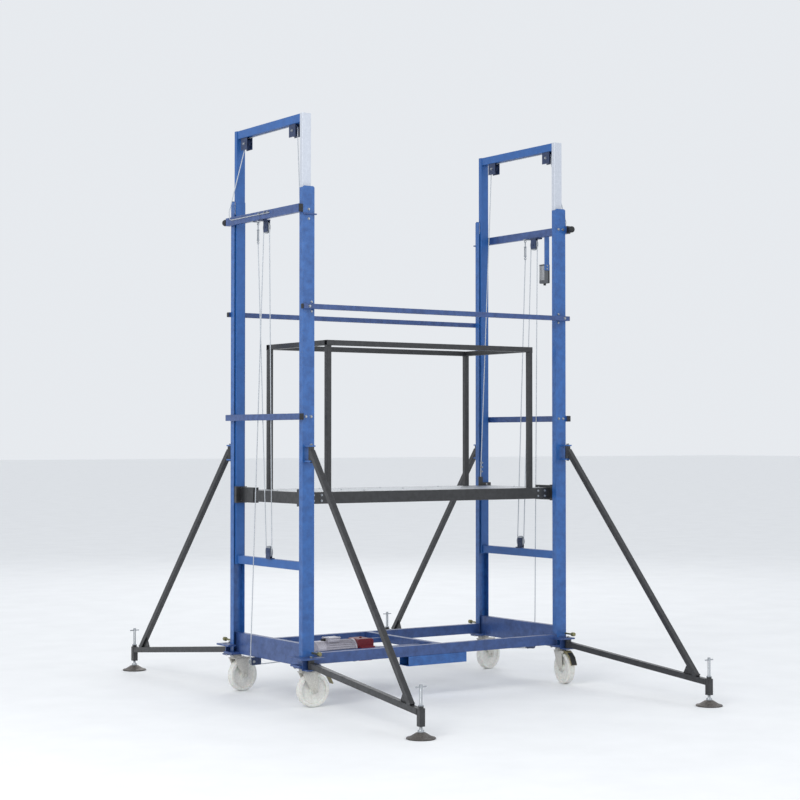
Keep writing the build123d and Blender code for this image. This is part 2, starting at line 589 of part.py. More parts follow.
def jack_foot():
    """Screw rod with a round dished foot pad and a turning bar through its top."""
    pad = revolve(make_face(Polyline((0, 0), (FOOT_R, 0), (FOOT_R, 7), (62, 12), (30, 30), (17, 34),
                                     (17, 46), (0, 46), close=True)), axis=Axis.Y)
    pad = Rot(90, 0, 0) * pad
    screw = rod((0, 0, 40), (0, 0, ROD_TOP), ROD_R)
    handle = rod((0, -34, ROD_TOP - 14), (0, 34, ROD_TOP - 14), 4)
    return Pos(ARM_REACH, 0, 0) * (pad + screw + handle).solid()


# ---- write every node ----
def write_sheaves():
    for name, s in SIDES.items():
        h = HOIST[name]
        save(f"hoist_sheave_{name}", [sheave((s * ROPE_X, h["sheave_y"], HOIST_SHEAVE_Z), "X",
                                             SHEAVE_R, SHEAVE_ROPE_R, SHEAVE_THICK)])
        save(f"lower_sheave_{name}", [sheave((s * ROPE_X, h["lower_y"], LOWER_SHEAVE_Z), "X",
                                             SHEAVE_R, SHEAVE_ROPE_R, SHEAVE_THICK)])
        base_at = (s * (RISER_FOOT_X - BASE_ROPE_R), h["riser_y"], BASE_SHEAVE_Z)
        save(f"base_sheave_{name}", [sheave(base_at, "Y", BASE_SHEAVE_R, BASE_ROPE_R, BASE_SHEAVE_THICK,
                                            floor=4.2)])
        for place, y in zip(("anchor", "fall"), top_sheave_places(s)):
            save(f"top_sheave_{place}_{name}", [sheave((s * MAST_X, y, TOP_SHEAVE_Z), "X",
                                                       SHEAVE_R, SHEAVE_ROPE_R, SHEAVE_THICK)])


def write_corners():
    fork, wheel, arm, foot = caster_fork(), caster_wheel(), outrigger(), jack_foot()
    plates = []
    for name, s, t in corner_names():
        save(f"mast_post_{name}", mast_post(s, t))
        save(f"caster_fork_{name}", [placed_caster(fork, name, s, t)])
        save(f"caster_wheel_{name}", [placed_caster(wheel, name, s, t)])
        save(f"outrigger_{name}", [placed_outrigger(piece, s, t) for piece in arm])
        save(f"jack_foot_{name}", [placed_outrigger(foot, s, t)])
        if t < 0:
            save(f"brake_pedal_{name}", [placed_caster(caster_pedal(), name, s, t)])
        plates.append(Location((s * CASTER_X, t * CASTER_Y, 0)) * caster_top_plate())
    return plates


def main():
    os.makedirs("parts", exist_ok=True)
    caster_plates = write_corners()
    write_sheaves()
    save("base_frame", base_frame() + caster_plates)
    save("underframe_box", underframe_box())
    save("lock_knobs", lock_knobs())
    save("mast_crossbars", mast_crossbars())
    save("crossbar_knobs", crossbar_knobs())
    save("mast_rungs", mast_rungs())
    save("tie_bars", tie_bars())
    save("guide_pads", guide_pads())
    save("fixed_blocks", fixed_blocks())
    save("turnbuckles", turnbuckles())
    for name, s in SIDES.items():
        save(f"inner_frame_{name}", inner_frame(s))
        save(f"inner_fittings_{name}", inner_fittings(name, s))
    save("hoist_ropes", [hoist_rope(name, s) for name, s in SIDES.items()])
    save("hoist_falls", [hoist_fall(name, s) for name, s in SIDES.items()])
    save("anchor_ropes", [anchor_rope(s) for s in SIDES.values()])
    save("platform_ropes", [platform_rope(s) for s in SIDES.values()])
    save("winch_motor", winch_motor())
    save("winch_gearbox", winch_gearbox())
    save("winch_drum", winch_drum())
    save("pendant_box", pendant_box())
    save("button_up", pendant_button(24))
    save("button_down", pendant_button(-16))
    save("platform_frame", platform_frame())
    save("platform_carriages", platform_carriages())
    save("deck_plates", deck_plates())
    save("guardrail", guardrail())


main()
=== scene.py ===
import json
import math
import bpy
from mathutils import Matrix, Vector

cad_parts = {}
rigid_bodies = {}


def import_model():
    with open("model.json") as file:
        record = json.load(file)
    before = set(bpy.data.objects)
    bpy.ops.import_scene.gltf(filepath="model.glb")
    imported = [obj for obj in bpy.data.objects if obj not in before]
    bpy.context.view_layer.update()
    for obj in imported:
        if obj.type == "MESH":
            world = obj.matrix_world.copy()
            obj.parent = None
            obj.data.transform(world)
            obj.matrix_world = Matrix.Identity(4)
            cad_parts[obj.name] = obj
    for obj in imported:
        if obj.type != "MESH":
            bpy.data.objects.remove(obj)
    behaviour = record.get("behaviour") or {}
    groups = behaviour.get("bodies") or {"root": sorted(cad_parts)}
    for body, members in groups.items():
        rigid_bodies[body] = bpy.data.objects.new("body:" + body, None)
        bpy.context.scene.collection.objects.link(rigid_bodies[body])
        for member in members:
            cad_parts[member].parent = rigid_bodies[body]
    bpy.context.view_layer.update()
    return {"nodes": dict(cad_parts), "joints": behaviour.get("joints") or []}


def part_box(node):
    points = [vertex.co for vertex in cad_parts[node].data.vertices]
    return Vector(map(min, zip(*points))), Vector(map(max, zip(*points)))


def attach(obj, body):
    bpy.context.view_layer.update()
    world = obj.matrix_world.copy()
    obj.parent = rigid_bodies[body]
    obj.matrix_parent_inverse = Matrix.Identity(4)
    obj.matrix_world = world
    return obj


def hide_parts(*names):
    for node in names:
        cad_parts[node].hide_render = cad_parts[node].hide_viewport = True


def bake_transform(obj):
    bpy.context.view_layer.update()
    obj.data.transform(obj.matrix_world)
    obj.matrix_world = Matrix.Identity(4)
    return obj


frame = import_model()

# ---- the picture ----
# A pale studio floor, three broad soft lamps, and a long lens at about eye height, well back from one front
# corner.
CAMERA_PLACE = (-6.4725, -9.4931, 1.5711)
CAMERA_HEADING, CAMERA_RISE = 55.7486, 1.2506
CAMERA_LENS = 81.13


def deselect():
    bpy.ops.object.select_all(action="DESELECT")


def aim(thing, heading, rise):
    """Turn a camera or lamp to look along a heading from +X, rising by a few degrees."""
    thing.rotation_euler = (math.radians(90 + rise), 0, math.radians(heading - 90))


def lamp(name, place, heading, rise, size, power, tint):
    bpy.ops.object.light_add(type="AREA", location=place)
    light = bpy.context.object
    light.name = name
    aim(light, heading, rise)
    light.data.size = size
    light.data.energy = power
    light.data.color = tint


deselect()
bpy.ops.object.camera_add(location=CAMERA_PLACE)
camera = bpy.context.object
aim(camera, CAMERA_HEADING, CAMERA_RISE)
camera.data.sensor_width = 36
camera.data.lens = CAMERA_LENS
camera.data.clip_start, camera.data.clip_end = 0.1, 200
bpy.context.scene.camera = camera
lamp("key_lamp", (-9.0, -4.5, 6.5), 27, -32, 5.0, 430, (1.0, 0.985, 0.96))
lamp("fill_lamp", (2.5, -10.0, 4.5), 104, -16, 6.0, 110, (0.95, 0.975, 1.0))
lamp("back_lamp", (5.0, 8.0, 7.0), 238, -30, 5.0, 130, (1.0, 1.0, 1.0))
world = bpy.data.worlds.new("studio")
bpy.context.scene.world = world
world.use_nodes = True
world.node_tree.nodes["Background"].inputs["Color"].default_value = (0.93, 0.96, 1.0, 1)
world.node_tree.nodes["Background"].inputs["Strength"].default_value = 0.86
bpy.context.scene.view_settings.view_transform = "Standard"


# ---- how materials are put together ----
def linear(hex_colour):
    """A colour written as sRGB hex, as the shader's linear values."""
    values = [int(hex_colour[i:i + 2], 16) / 255 for i in (1, 3, 5)]
    return [v / 12.92 if v <= 0.04045 else ((v + 0.055) / 1.055) ** 2.4 for v in values] + [1]


def add_node(tree, kind, settings=(), links=()):
    """One node with its settings, either properties or socket values, and its incoming links."""
    node = tree.nodes.new(kind)
    for key, value in dict(settings).items():
        if isinstance(key, str) and hasattr(node, key):
            setattr(node, key, value)
        else:
            node.inputs[key].default_value = value
    for socket, source in dict(links).items():
        tree.links.new(source, node.inputs[socket])
    return node


def finish(name, base, metallic=0.0, roughness=0.5, **sockets):
    """A material whose shader's own sockets hold what is the same all over."""
    material = bpy.data.materials.new(name)
    material.use_nodes = True
    shader = material.node_tree.nodes["Principled BSDF"]
    shader.inputs["Base Color"].default_value = linear(base)
    shader.inputs["Metallic"].default_value = metallic
    shader.inputs["Roughness"].default_value = roughness
    for key, value in sockets.items():
        shader.inputs[key.replace("_", " ")].default_value = value
    material.diffuse_color = linear(base)
    return material, material.node_tree, shader


def feed(tree, shader, **sources):
    """Wire patterns into the shader's own sockets."""
    for socket, source in sources.items():
        tree.links.new(source, shader.inputs[socket.replace("_", " ")])


def grain(material_parts, light, dark, size_mm, low=0.3, high=0.7, bump_mm=0.02, rough=(0.3, 0.5)):
    """Colour, gloss and relief that vary over the surface with one noise, whose spots are size_mm across."""
    material, tree, shader = material_parts
    place = add_node(tree, "ShaderNodeTexCoord")
    noise = add_node(tree, "ShaderNodeTexNoise", {"Scale": 1000 / size_mm, "Detail": 4.0, "Roughness": 0.6},
                     {"Vector": place.outputs["Object"]})
    share = add_node(tree, "ShaderNodeMapRange", {"From Min": low, "From Max": high},
                     {"Value": noise.outputs["Fac"]})
    colour = add_node(tree, "ShaderNodeMix", {"data_type": "RGBA", 6: linear(dark), 7: linear(light)},
                      {0: share.outputs[0]})
    gloss = add_node(tree, "ShaderNodeMapRange", {"To Min": rough[1], "To Max": rough[0]},
                     {"Value": share.outputs[0]})
    relief = add_node(tree, "ShaderNodeBump", {"Strength": 0.6, "Distance": bump_mm / 1000},
                      {"Height": noise.outputs["Fac"]})
    feed(tree, shader, Base_Color=colour.outputs[2], Roughness=gloss.outputs[0], Normal=relief.outputs[0])
    return material


# ---- welded base ----
# Two long rectangular tubes and two deep end beams, welded to corner plates, with a cross member and two
# bearers for the winch. Mild steel, painted with blue enamel that has scuffs and a soft orange-peel
# surface.
blue_enamel = grain(finish("blue_enamel_on_steel", "#2558A0", 0.0, 0.35, IOR=1.5, Coat_Weight=0.25,
                           Coat_Roughness=0.2),
                    "#2A62A8", "#1F4E8C", 38, 0.30, 0.68, bump_mm=0.06, rough=(0.30, 0.46))
# The bars and the base get a copy of the post enamel made darker than the posts: painted shade, for the shade they
# stand in.
shaded_blue_enamel = grain(finish("shaded_blue_enamel_on_steel", "#2C477A", 0.0, 0.38, IOR=1.5, Coat_Weight=0.2,
                                Coat_Roughness=0.25),
                         "#35528A", "#273F70", 38, 0.30, 0.68, bump_mm=0.06, rough=(0.32, 0.5))


def dress(material, *nodes):
    """Give carried-over frame nodes their finish."""
    for name in nodes:
        slots = frame["nodes"][name].data.materials
        slots.clear()
        slots.append(material)


def fresh(name):
    """Name the piece that an operator has just made."""
    piece = bpy.context.object
    piece.name = piece.data.name = name
    return piece


def settled(name):
    """Name the piece that an operator has just made."""
    piece = fresh(name)
    bpy.ops.object.transform_apply(location=True, rotation=True, scale=True)
    return piece


def only(piece):
    """Select one piece and nothing else."""
    deselect()
    piece.select_set(True)
    bpy.context.view_layer.objects.active = piece


SHARP = math.radians(35)


def soften(piece, width, segments=2):
    """Ease every sharp edge, as paint and grinding do, and shade the rest smooth."""
    only(piece)
    if width:
        bevel = piece.modifiers.new("eased_edges", "BEVEL")
        bevel.width, bevel.segments, bevel.limit_method = width, segments, "ANGLE"
        bevel.angle_limit = SHARP
        bpy.ops.object.modifier_apply(modifier=bevel.name)
    bpy.ops.object.shade_smooth_by_angle(angle=SHARP)
    return piece


def block(name, low, high, ease=0.0015):
    """A plate or bar between two corners."""
    deselect()
    low, high = Vector(low), Vector(high)
    bpy.ops.mesh.primitive_cube_add(size=1, location=(low + high) / 2)
    bpy.context.object.scale = high - low
    return soften(settled(name), ease)


def stood(piece, place, axis=(0, 0, 1)):
    """Turn a piece made standing on the origin so that its Z lies along axis, and move it to its place."""
    turn = Vector(axis).to_track_quat("Z", "Y").to_matrix().to_4x4()
    piece.data.transform(Matrix.Translation(place) @ turn)
    return piece


def another(piece, name, matrix):
    """A copy with its own mesh, moved."""
    twin = piece.copy()
    twin.data = piece.data.copy()
    twin.name = twin.data.name = name
    twin.data.transform(matrix)
    bpy.context.collection.objects.link(twin)
    return twin


def gathered(name, pieces):
    """Several finished pieces as one."""
    deselect()
    for piece in pieces:
        piece.select_set(True)
    bpy.context.view_layer.objects.active = pieces[0]
    bpy.ops.object.join()
    return fresh(name)


def fitted(piece, material, body):
    """Give a new piece its finish and the body that it moves with."""
    piece.data.materials.clear()
    piece.data.materials.append(material)
    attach(piece, body)
    return piece


# The base frame takes the darker copy of the enamel, which is painted shade; the underframe box keeps the plain
# enamel.
dress(shaded_blue_enamel, "base_frame")
dress(blue_enamel, "underframe_box")
LEFT_RIGHT = {"left": -1, "right": 1}
FRONT_REAR = {"front": -1, "rear": 1}
CORNERS = [(f"{e}_{n}", s, t) for e, t in FRONT_REAR.items() for n, s in LEFT_RIGHT.items()]


def mode(kind):
    bpy.ops.object.mode_set(mode=kind)


def bead(start, end, radius=0.0028):
    """A weld bead: a low rippled roll along a joint."""
    deselect()
    start, end = Vector(start), Vector(end)
    count = max(4, int((end - start).length / 0.008))
    bpy.ops.mesh.primitive_cylinder_add(vertices=8, radius=radius, depth=(end - start).length)
    roll = fresh("weld")
    mode("EDIT")
    bpy.ops.mesh.select_all(action="DESELECT")
    mode("OBJECT")
    for edge in roll.data.edges:
        a, b = (roll.data.vertices[i].co for i in edge.vertices)
        edge.select = abs(a.z - b.z) > radius
    mode("EDIT")
    bpy.ops.mesh.subdivide(number_cuts=count)
    mode("OBJECT")
    for vertex in roll.data.vertices:
        swell = 1 + 0.16 * math.cos(vertex.co.z * 2 * math.pi / 0.011)
        vertex.co.x *= swell
        vertex.co.y *= swell
    stood(roll, (start + end) / 2, end - start)
    return soften(roll, 0)


RAIL_FACE, RAIL_INSIDE, POST_INSIDE = 0.435, 0.395, 0.915
RAIL_FOOT, RAIL_TOP, BEARER_FOOT = 0.250, 0.314, 0.266
welds = []
for corner, s, t in CORNERS:
    welds += [bead((s * POST_INSIDE, t * y, RAIL_FOOT), (s * POST_INSIDE, t * y, RAIL_TOP))
              for y in (RAIL_FACE, RAIL_INSIDE)]
    welds.append(bead((s * POST_INSIDE, t * RAIL_INSIDE, RAIL_TOP),
                      (s * POST_INSIDE, t * RAIL_FACE, RAIL_TOP)))
    welds.append(bead((s * 0.925, t * 0.458, 0.241), (s * 1.010, t * 0.458, 0.241)))
    welds.append(bead((s * 0.935, t * RAIL_FACE, 0.297), (s * 0.995, t * RAIL_FACE, 0.297)))
for x in (-0.007, 0.033):
    for t in FRONT_REAR.values():
        welds.append(bead((x, t * RAIL_INSIDE, BEARER_FOOT), (x, t * RAIL_INSIDE, RAIL_TOP)))
# The base welds take the darker copy of the enamel, which is painted shade.
fitted(gathered("base_welds", welds), shaded_blue_enamel, "base")

# ---- fasteners ----
# Zinc plated hexagon bolts with chamfered corners and flat washers, used on the masts, the platform, the
# blocks and the casters.
zinc = grain(finish("zinc_plated_steel", "#A9ADB2", 1.0, 0.35),
             "#B9BEC4", "#8E9297", 3.0, bump_mm=0.01, rough=(0.28, 0.45))


def bolt(place, axis, head=0.008, washer=True):
    """A hexagon head with chamfered corners on a washer; head is its radius."""
    deselect()
    bpy.ops.mesh.primitive_cylinder_add(vertices=6, radius=head, depth=head * 0.8,
                                        location=(0, 0, head * 0.6))
    parts = [settled("head")]
    soften(parts[0], head * 0.09, 1)
    if washer:
        deselect()
        bpy.ops.mesh.primitive_cylinder_add(vertices=20, radius=head * 1.25, depth=head * 0.22,
                                            location=(0, 0, head * 0.11))
        parts.append(settled("washer"))
        soften(parts[1], head * 0.04, 1)
    return stood(gathered("bolt", parts), place, axis)


# ---- outer masts ----
# Folded channel posts with hinge ears, tied by a crossbar and a rung on each mast and by two long square
# tie bars. Blue enamel, with black plastic plugs in the open tube ends. A small bolted flange crosses the
# post at the plain end of each crossbar.
dress(blue_enamel, *[f"mast_post_{corner}" for corner, _, _ in CORNERS])
# The crossbars, rungs and tie bars take the darker copy of the enamel, which is painted shade.
dress(shaded_blue_enamel, "mast_crossbars", "mast_rungs", "tie_bars")
black_plug = grain(finish("black_polyethylene_plug", "#17181A", 0.0, 0.5),
                   "#1F2023", "#121315", 6, bump_mm=0.03, rough=(0.42, 0.6))


def plug(centre, axis, width, height, reach=0.004):
    """A tube end plug: a shallow domed cap with rounded corners."""
    deselect()
    bpy.ops.mesh.primitive_cube_add(size=1, location=(0, 0, reach / 2))
    bpy.context.object.scale = (width, height, reach)
    cap = soften(settled("plug"), reach * 0.45, 3)
    along = Vector(axis)
    sideways = Vector((0, 0, 1)).cross(along)
    turn = Matrix((sideways, (0, 0, 1), along)).transposed().to_4x4()
    cap.data.transform(Matrix.Translation(centre) @ turn)
    return cap


plugs, bolts = [], []
rung_low, rung_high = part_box("mast_rungs")
tie_low, tie_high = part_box("tie_bars")
MAST_X, BAR_X, BAR_FRONT_X, POST_FACE = 0.955, 1.010, 1.0285, 0.435
CROSSBAR_Z, TIE_Z, RUNG_Z = 2.932, 2.353, 1.705
rung_middle, tie_middle = (rung_low.z + rung_high.z) / 2, (tie_low.z + tie_high.z) / 2
for s in LEFT_RIGHT.values():
    for t in FRONT_REAR.values():
        plugs.append(plug((s * BAR_X, t * rung_high.y, rung_middle), (0, t, 0), 0.028, 0.036))
        plugs.append(plug((s * tie_high.x, t * 0.450, tie_middle), (s, 0, 0), 0.028, 0.028))
        for dx in (-0.018, 0.018):
            bolts.append(bolt((s * (MAST_X + dx), t * POST_FACE, RUNG_Z), (0, t, 0), 0.007))
            if s != t:
                bolts.append(bolt((s * (MAST_X + dx), t * POST_FACE, CROSSBAR_Z), (0, t, 0), 0.007))
        for z in (TIE_Z - 0.028, TIE_Z + 0.028):
            bolts.append(bolt((s * 0.935, t * POST_FACE, z), (0, t, 0), 0.006))
        bolts.append(bolt((s * 0.965, t * 0.465, TIE_Z), (0, t, 0), 0.007))
    plugs.append(plug((s * BAR_X, s * POST_FACE, CROSSBAR_Z), (0, s, 0), 0.028, 0.046))
fitted(gathered("tube_plugs", plugs), black_plug, "base")
fitted(gathered("mast_bolts", bolts), zinc, "base")

flanges = []
for s in LEFT_RIGHT.values():
    flanges.append(block("flange", (s * 0.951 - 0.046, s * 0.4405 - 0.0058, 2.895),
                         (s * 0.951 + 0.046, s * 0.4405 + 0.0058, 2.903), 0.001))
# The crossbar flanges take the darker copy of the enamel, which is painted shade.
fitted(gathered("crossbar_flanges", flanges), shaded_blue_enamel, "base")
flange_bolts = [bolt((s * MAST_X, s * POST_FACE, z), (0, s, 0), 0.0065)
                for s in LEFT_RIGHT.values() for z in (2.871, 2.927)]
fitted(gathered("crossbar_flange_bolts", flange_bolts), zinc, "base")

post_welds = []
for corner, s, t in CORNERS:
    for z in (1.443, 1.532):
        post_welds.append(bead((s * 0.951, t * 0.436, z), (s * 0.985, t * 0.436, z)))
    for z in (1.687, 1.724, 2.908, 2.957):
        post_welds.append(bead((s * 0.996, t * 0.397, z), (s * 0.996, t * 0.433, z)))
fitted(gathered("mast_welds", post_welds), blue_enamel, "base")

# ---- inner frames ----
# Telescoping ladder frames of flat-sided tube that slide in the posts. The front tubes are bare galvanised
# steel and the rest is blue enamel, so one finish changes over by its place across the frame.
galvanised = finish("galvanised_tube_and_blue_enamel", "#C3C8CF", 0.35, 0.42)
_, tree, shader = galvanised
place = add_node(tree, "ShaderNodeTexCoord")
across = add_node(tree, "ShaderNodeSeparateXYZ", links={"Vector": place.outputs["Object"]})
is_front = add_node(tree, "ShaderNodeMath", {"operation": "LESS_THAN", 1: -0.3805}, {0: across.outputs["Y"]})
spangle = add_node(tree, "ShaderNodeTexVoronoi", {"Scale": 90.0}, {"Vector": place.outputs["Object"]})
zinc_tone = add_node(tree, "ShaderNodeMix", {"data_type": "RGBA", 6: linear("#C2C7D1"), 7: linear("#CDD2DB")},
                     {0: spangle.outputs["Distance"]})
mottle = add_node(tree, "ShaderNodeTexNoise", {"Scale": 26.0, "Detail": 4.0}, {"Vector": place.outputs["Object"]})
blue_tone = add_node(tree, "ShaderNodeMix", {"data_type": "RGBA", 6: linear("#1F4E8C"), 7: linear("#2A62A8")},
                     {0: mottle.outputs["Fac"]})
tone = add_node(tree, "ShaderNodeMix", {"data_type": "RGBA"},
                {0: is_front.outputs[0], 6: blue_tone.outputs[2], 7: zinc_tone.outputs[2]})
metal = add_node(tree, "ShaderNodeMapRange", {"To Min": 0.0, "To Max": 0.35}, {"Value": is_front.outputs[0]})
relief = add_node(tree, "ShaderNodeBump", {"Strength": 0.5, "Distance": 0.00005},
                  {"Height": mottle.outputs["Fac"]})
feed(tree, shader, Base_Color=tone.outputs[2], Metallic=metal.outputs[0], Normal=relief.outputs[0])
dress(galvanised[0], "inner_frame_left", "inner_frame_right")

for name, s in LEFT_RIGHT.items():
    caps, frame_welds = [], []
    for t in FRONT_REAR.values():
        caps.append(block("cap", (s * 0.928, t * 0.384, 3.4965), (s * 0.982, t * 0.408, 3.5), 0.0008))
        for z in (3.4515, 3.4985, 0.799, 0.847):
            frame_welds.append(bead((s * 0.936, t * 0.3815, z), (s * 0.974, t * 0.3815, z), 0.0022))
    fitted(gathered(f"inner_caps_{name}", caps), black_plug, f"inner_{name}")
    fitted(gathered(f"inner_welds_{name}", frame_welds), blue_enamel, f"inner_{name}")


# ---- sheaves and their blocks ----
# Pressed, navy painted cheek plates on a through pin, with a grooved sheave between them. The hoist blocks
# hang under the crossbars, the lower and top blocks are welded to the inner frames, and the guides sit
# under the end beams.
block_steel = grain(finish("navy_painted_steel_plate", "#263657", 0.1, 0.45),
                    "#2C3E64", "#1E2B48", 12, bump_mm=0.04, rough=(0.38, 0.55))
dress(block_steel, "fixed_blocks", "inner_fittings_left", "inner_fittings_right")
joint = {j["name"]: j for j in frame["joints"]}
sheave_names = [n for n in frame["nodes"] if "_sheave_" in n]
dress(zinc, *[n for n in sheave_names if not n.startswith("top")])
dress(block_steel, *[n for n in sheave_names if n.startswith("top")])


def pin_ends(name, place, axis, reach, radius=0.0075):
    """The two heads of a sheave's pin, one domed head and one nut, on the outsides of the cheeks."""
    along = Vector(axis)
    ends = [bolt(Vector(place) + along * reach, along, radius)]
    ends.append(bolt(Vector(place) - along * reach, -along, radius))
    return gathered(name, ends)


for n in sheave_names:
    turn = joint[f"turn_{n}"]
    reach = {"base": 0.0100, "top_": 0.0198}.get(n[:4], 0.0093)
    heads = pin_ends(f"pin_{n}", turn["pos_m"], turn["axis"], reach, 0.0062 if n.startswith("lower") else 0.0075)
    if n.startswith(("hoist", "lower")):
        heads.data.transform(Matrix.Translation(turn["pos_m"]) @ Matrix.Diagonal((0.55, 1, 1, 1)).to_4x4()
                             @ Matrix.Translation(-Vector(turn["pos_m"])))
    fitted(heads, zinc, turn["parent"])

# ---- wire ropes ----
# Galvanised wire rope, six strands laid round a core. The rope on the fixed sheaves is carried over from
# the frame. The runs that change length as the masts rise are tubes laid through their points at rest.
wire_rope, tree, shader = finish("galvanised_wire_rope", "#E7E7E7", 0.55, 0.42)
place = add_node(tree, "ShaderNodeTexCoord")
lay = add_node(tree, "ShaderNodeTexWave", {"Scale": 90.0, "Distortion": 0.6, "bands_direction": "DIAGONAL"},
               {"Vector": place.outputs["Object"]})
strand = add_node(tree, "ShaderNodeMix", {"data_type": "RGBA", 6: linear("#8F959C"), 7: linear("#DDE1E6")},
                  {0: lay.outputs["Fac"]})
relief = add_node(tree, "ShaderNodeBump", {"Strength": 0.7, "Distance": 0.0006}, {"Height": lay.outputs["Fac"]})
feed(tree, shader, Base_Color=strand.outputs[2], Normal=relief.outputs[0])
dress(wire_rope, "hoist_ropes")
ROPE_RADIUS = 0.003


def rope_tube(name, route, step=0.05):
    """A round rope through the given points; long runs are cut into short steps."""
    points = [Vector(route[0])]
    for target in map(Vector, route[1:]):
        run = target - points[-1]
        cuts = max(1, int(run.length / step))
        start = points[-1].copy()
        points += [start + run * (i + 1) / cuts for i in range(cuts)]
    curve = bpy.data.curves.new(name, "CURVE")
    curve.dimensions = "3D"
    curve.bevel_depth = ROPE_RADIUS
    curve.bevel_resolution = 2
    curve.use_fill_caps = True
    spline = curve.splines.new("POLY")
    spline.points.add(len(points) - 1)
    for point, control in zip(points, spline.points):
        control.co = (*point, 1)
    shape = bpy.data.objects.new(name, curve)
    bpy.context.collection.objects.link(shape)
    only(shape)
    bpy.ops.object.convert(target="MESH")
    piece = fresh(name)
    bpy.ops.object.shade_smooth()
    return piece


def arc(centre, radius, start, end, steps=14):
    """Points round a sheave in a plane across X, with angles in degrees from +Y towards +Z."""
    centre = Vector(centre)
    angles = [math.radians(start + (end - start) * i / steps) for i in range(steps + 1)]
    return [centre + Vector((0, math.cos(a), math.sin(a))) * radius for a in angles]


def stretching(name, route):
    """A rope run through the given points, given the wire rope finish and baked into world space."""
    run = rope_tube(name, route)
    run.data.materials.append(wire_rope)
    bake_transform(run)


SHEAVE_R = 0.033
hook_y = {"left": 0.120, "right": -0.034}
rope_eye = {name: Vector((s * 0.890, s * 0.345, 1.318)) for name, s in LEFT_RIGHT.items()}
for name, s in LEFT_RIGHT.items():
    hoist = Vector(joint[f"turn_hoist_sheave_{name}"]["pos_m"])
    lower = Vector(joint[f"turn_lower_sheave_{name}"]["pos_m"])
    anchor_top = Vector(joint[f"turn_top_sheave_anchor_{name}"]["pos_m"])
    fall_top = Vector(joint[f"turn_top_sheave_fall_{name}"]["pos_m"])
    side = -s
    head = (hoist.x, hoist.y - side * SHEAVE_R, hoist.z - 0.004)
    route = [head] + arc(lower, SHEAVE_R, 180, 360) + [(hoist.x, hook_y[name], 2.775)]
    stretching(f"hoist_fall_{name}", route)

    outside = s * BAR_FRONT_X
    reach = anchor_top.y + side * SHEAVE_R
    route = [(outside, -side * 0.10, 2.938), (outside, side * 0.372, 2.938), (outside, side * 0.388, 2.944),
             (outside, side * 0.398, 2.962), (outside + s * -0.001, side * 0.402, 2.990),
             (anchor_top.x, reach, anchor_top.z - 0.041)]
    stretching(f"anchor_rope_{name}", route)

    turn_up = [anchor_top + Vector((0, side * SHEAVE_R, -0.040))]
    over = arc(anchor_top, SHEAVE_R, 0 if side > 0 else 180, 90)
    down = arc(fall_top, SHEAVE_R, 90, 180 if side > 0 else 0)
    leaving = (fall_top.x, fall_top.y - side * SHEAVE_R, fall_top.z - 0.06)
    route = turn_up + over + down + [leaving, rope_eye[name]]
    stretching(f"platform_rope_{name}", route)
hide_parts("hoist_falls")
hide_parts("anchor_ropes")
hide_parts("platform_ropes")


def rope_clip(place, axis):
    """A U-bolt clip: a saddle, the bow round the rope and its two nuts."""
    deselect()
    bpy.ops.mesh.primitive_torus_add(major_radius=0.0062, minor_radius=0.0014, major_segments=20, minor_segments=8,
                                     rotation=(0, math.pi / 2, 0))
    parts = [settled("bow")]
    bpy.ops.object.shade_smooth()
    parts.append(block("saddle", (-0.006, -0.010, -0.0075), (0.006, 0.010, -0.0035), 0.0012))
    for y in (-0.0065, 0.0065):
        parts.append(bolt((0, y, -0.0075), (0, 0, -1), 0.0032, washer=False))
    clip = gathered("clip", parts)
    sideways = Vector((0, 1, 0)) if abs(Vector(axis).y) < 0.9 else Vector((1, 0, 0))
    along = Vector(axis).normalized()
    sideways = (sideways - along * sideways.dot(along)).normalized()
    turn = Matrix((along, sideways, along.cross(sideways))).transposed().to_4x4()
    clip.data.transform(Matrix.Translation(place) @ turn)
    return clip


for name, s in LEFT_RIGHT.items():
    side = -s
    clips = [rope_clip((s * BAR_FRONT_X, side * y, 2.938), (0, 1, 0)) for y in (-0.085, -0.045, 0.02)]
    fitted(gathered(f"crossbar_clips_{name}", clips), zinc, "base")
    slope = Vector((s * 0.065, side * 0.036, 2.034)).normalized()
    clips = [rope_clip(rope_eye[name] + slope * h, slope) for h in (0.035, 0.065, 0.095)]
    fitted(gathered(f"platform_clips_{name}", clips), zinc, "platform")

# ---- turnbuckles ----
# The dead end of each hoist rope: a drop-forged galvanised turnbuckle between two eye screws, hung from a
# lug under the crossbar.


def turned(name, outline, steps=40):
    """A lathe-turned piece on Z; outline is (radius, height) pairs, starting and ending on the axis."""
    mesh = bpy.data.meshes.new(name)
    corners = [(r, 0, z) for r, z in outline]
    mesh.from_pydata(corners, [(i, i + 1) for i in range(len(corners) - 1)], [])
    piece = bpy.data.objects.new(name, mesh)
    bpy.context.collection.objects.link(piece)
    only(piece)
    mode("EDIT")
    bpy.ops.mesh.select_all(action="SELECT")
    bpy.ops.mesh.spin(steps=steps, angle=2 * math.pi, center=(0, 0, 0), axis=(0, 0, 1))
    bpy.ops.mesh.select_all(action="SELECT")
    bpy.ops.mesh.remove_doubles(threshold=1e-6)
    bpy.ops.mesh.normals_make_consistent(inside=False)
    mode("OBJECT")
    bpy.ops.object.shade_smooth_by_angle(angle=SHARP)
    return fresh(name)


def threaded(name, radius, start, end, pitch):
    """A screw: a rod whose radius ripples once per pitch."""
    rings = int((end - start) / pitch * 2)
    outline = [(0, start)] + [(radius - (0.08 * radius if i % 2 else 0), start + (end - start) * i / rings)
                              for i in range(rings + 1)] + [(0, end)]
    return turned(name, outline, 20)


def ring(name, major, minor, place, axis):
    deselect()
    bpy.ops.mesh.primitive_torus_add(major_radius=major, minor_radius=minor, major_segments=28, minor_segments=10)
    piece = fresh(name)
    bpy.ops.object.shade_smooth()
    return stood(piece, place, axis)


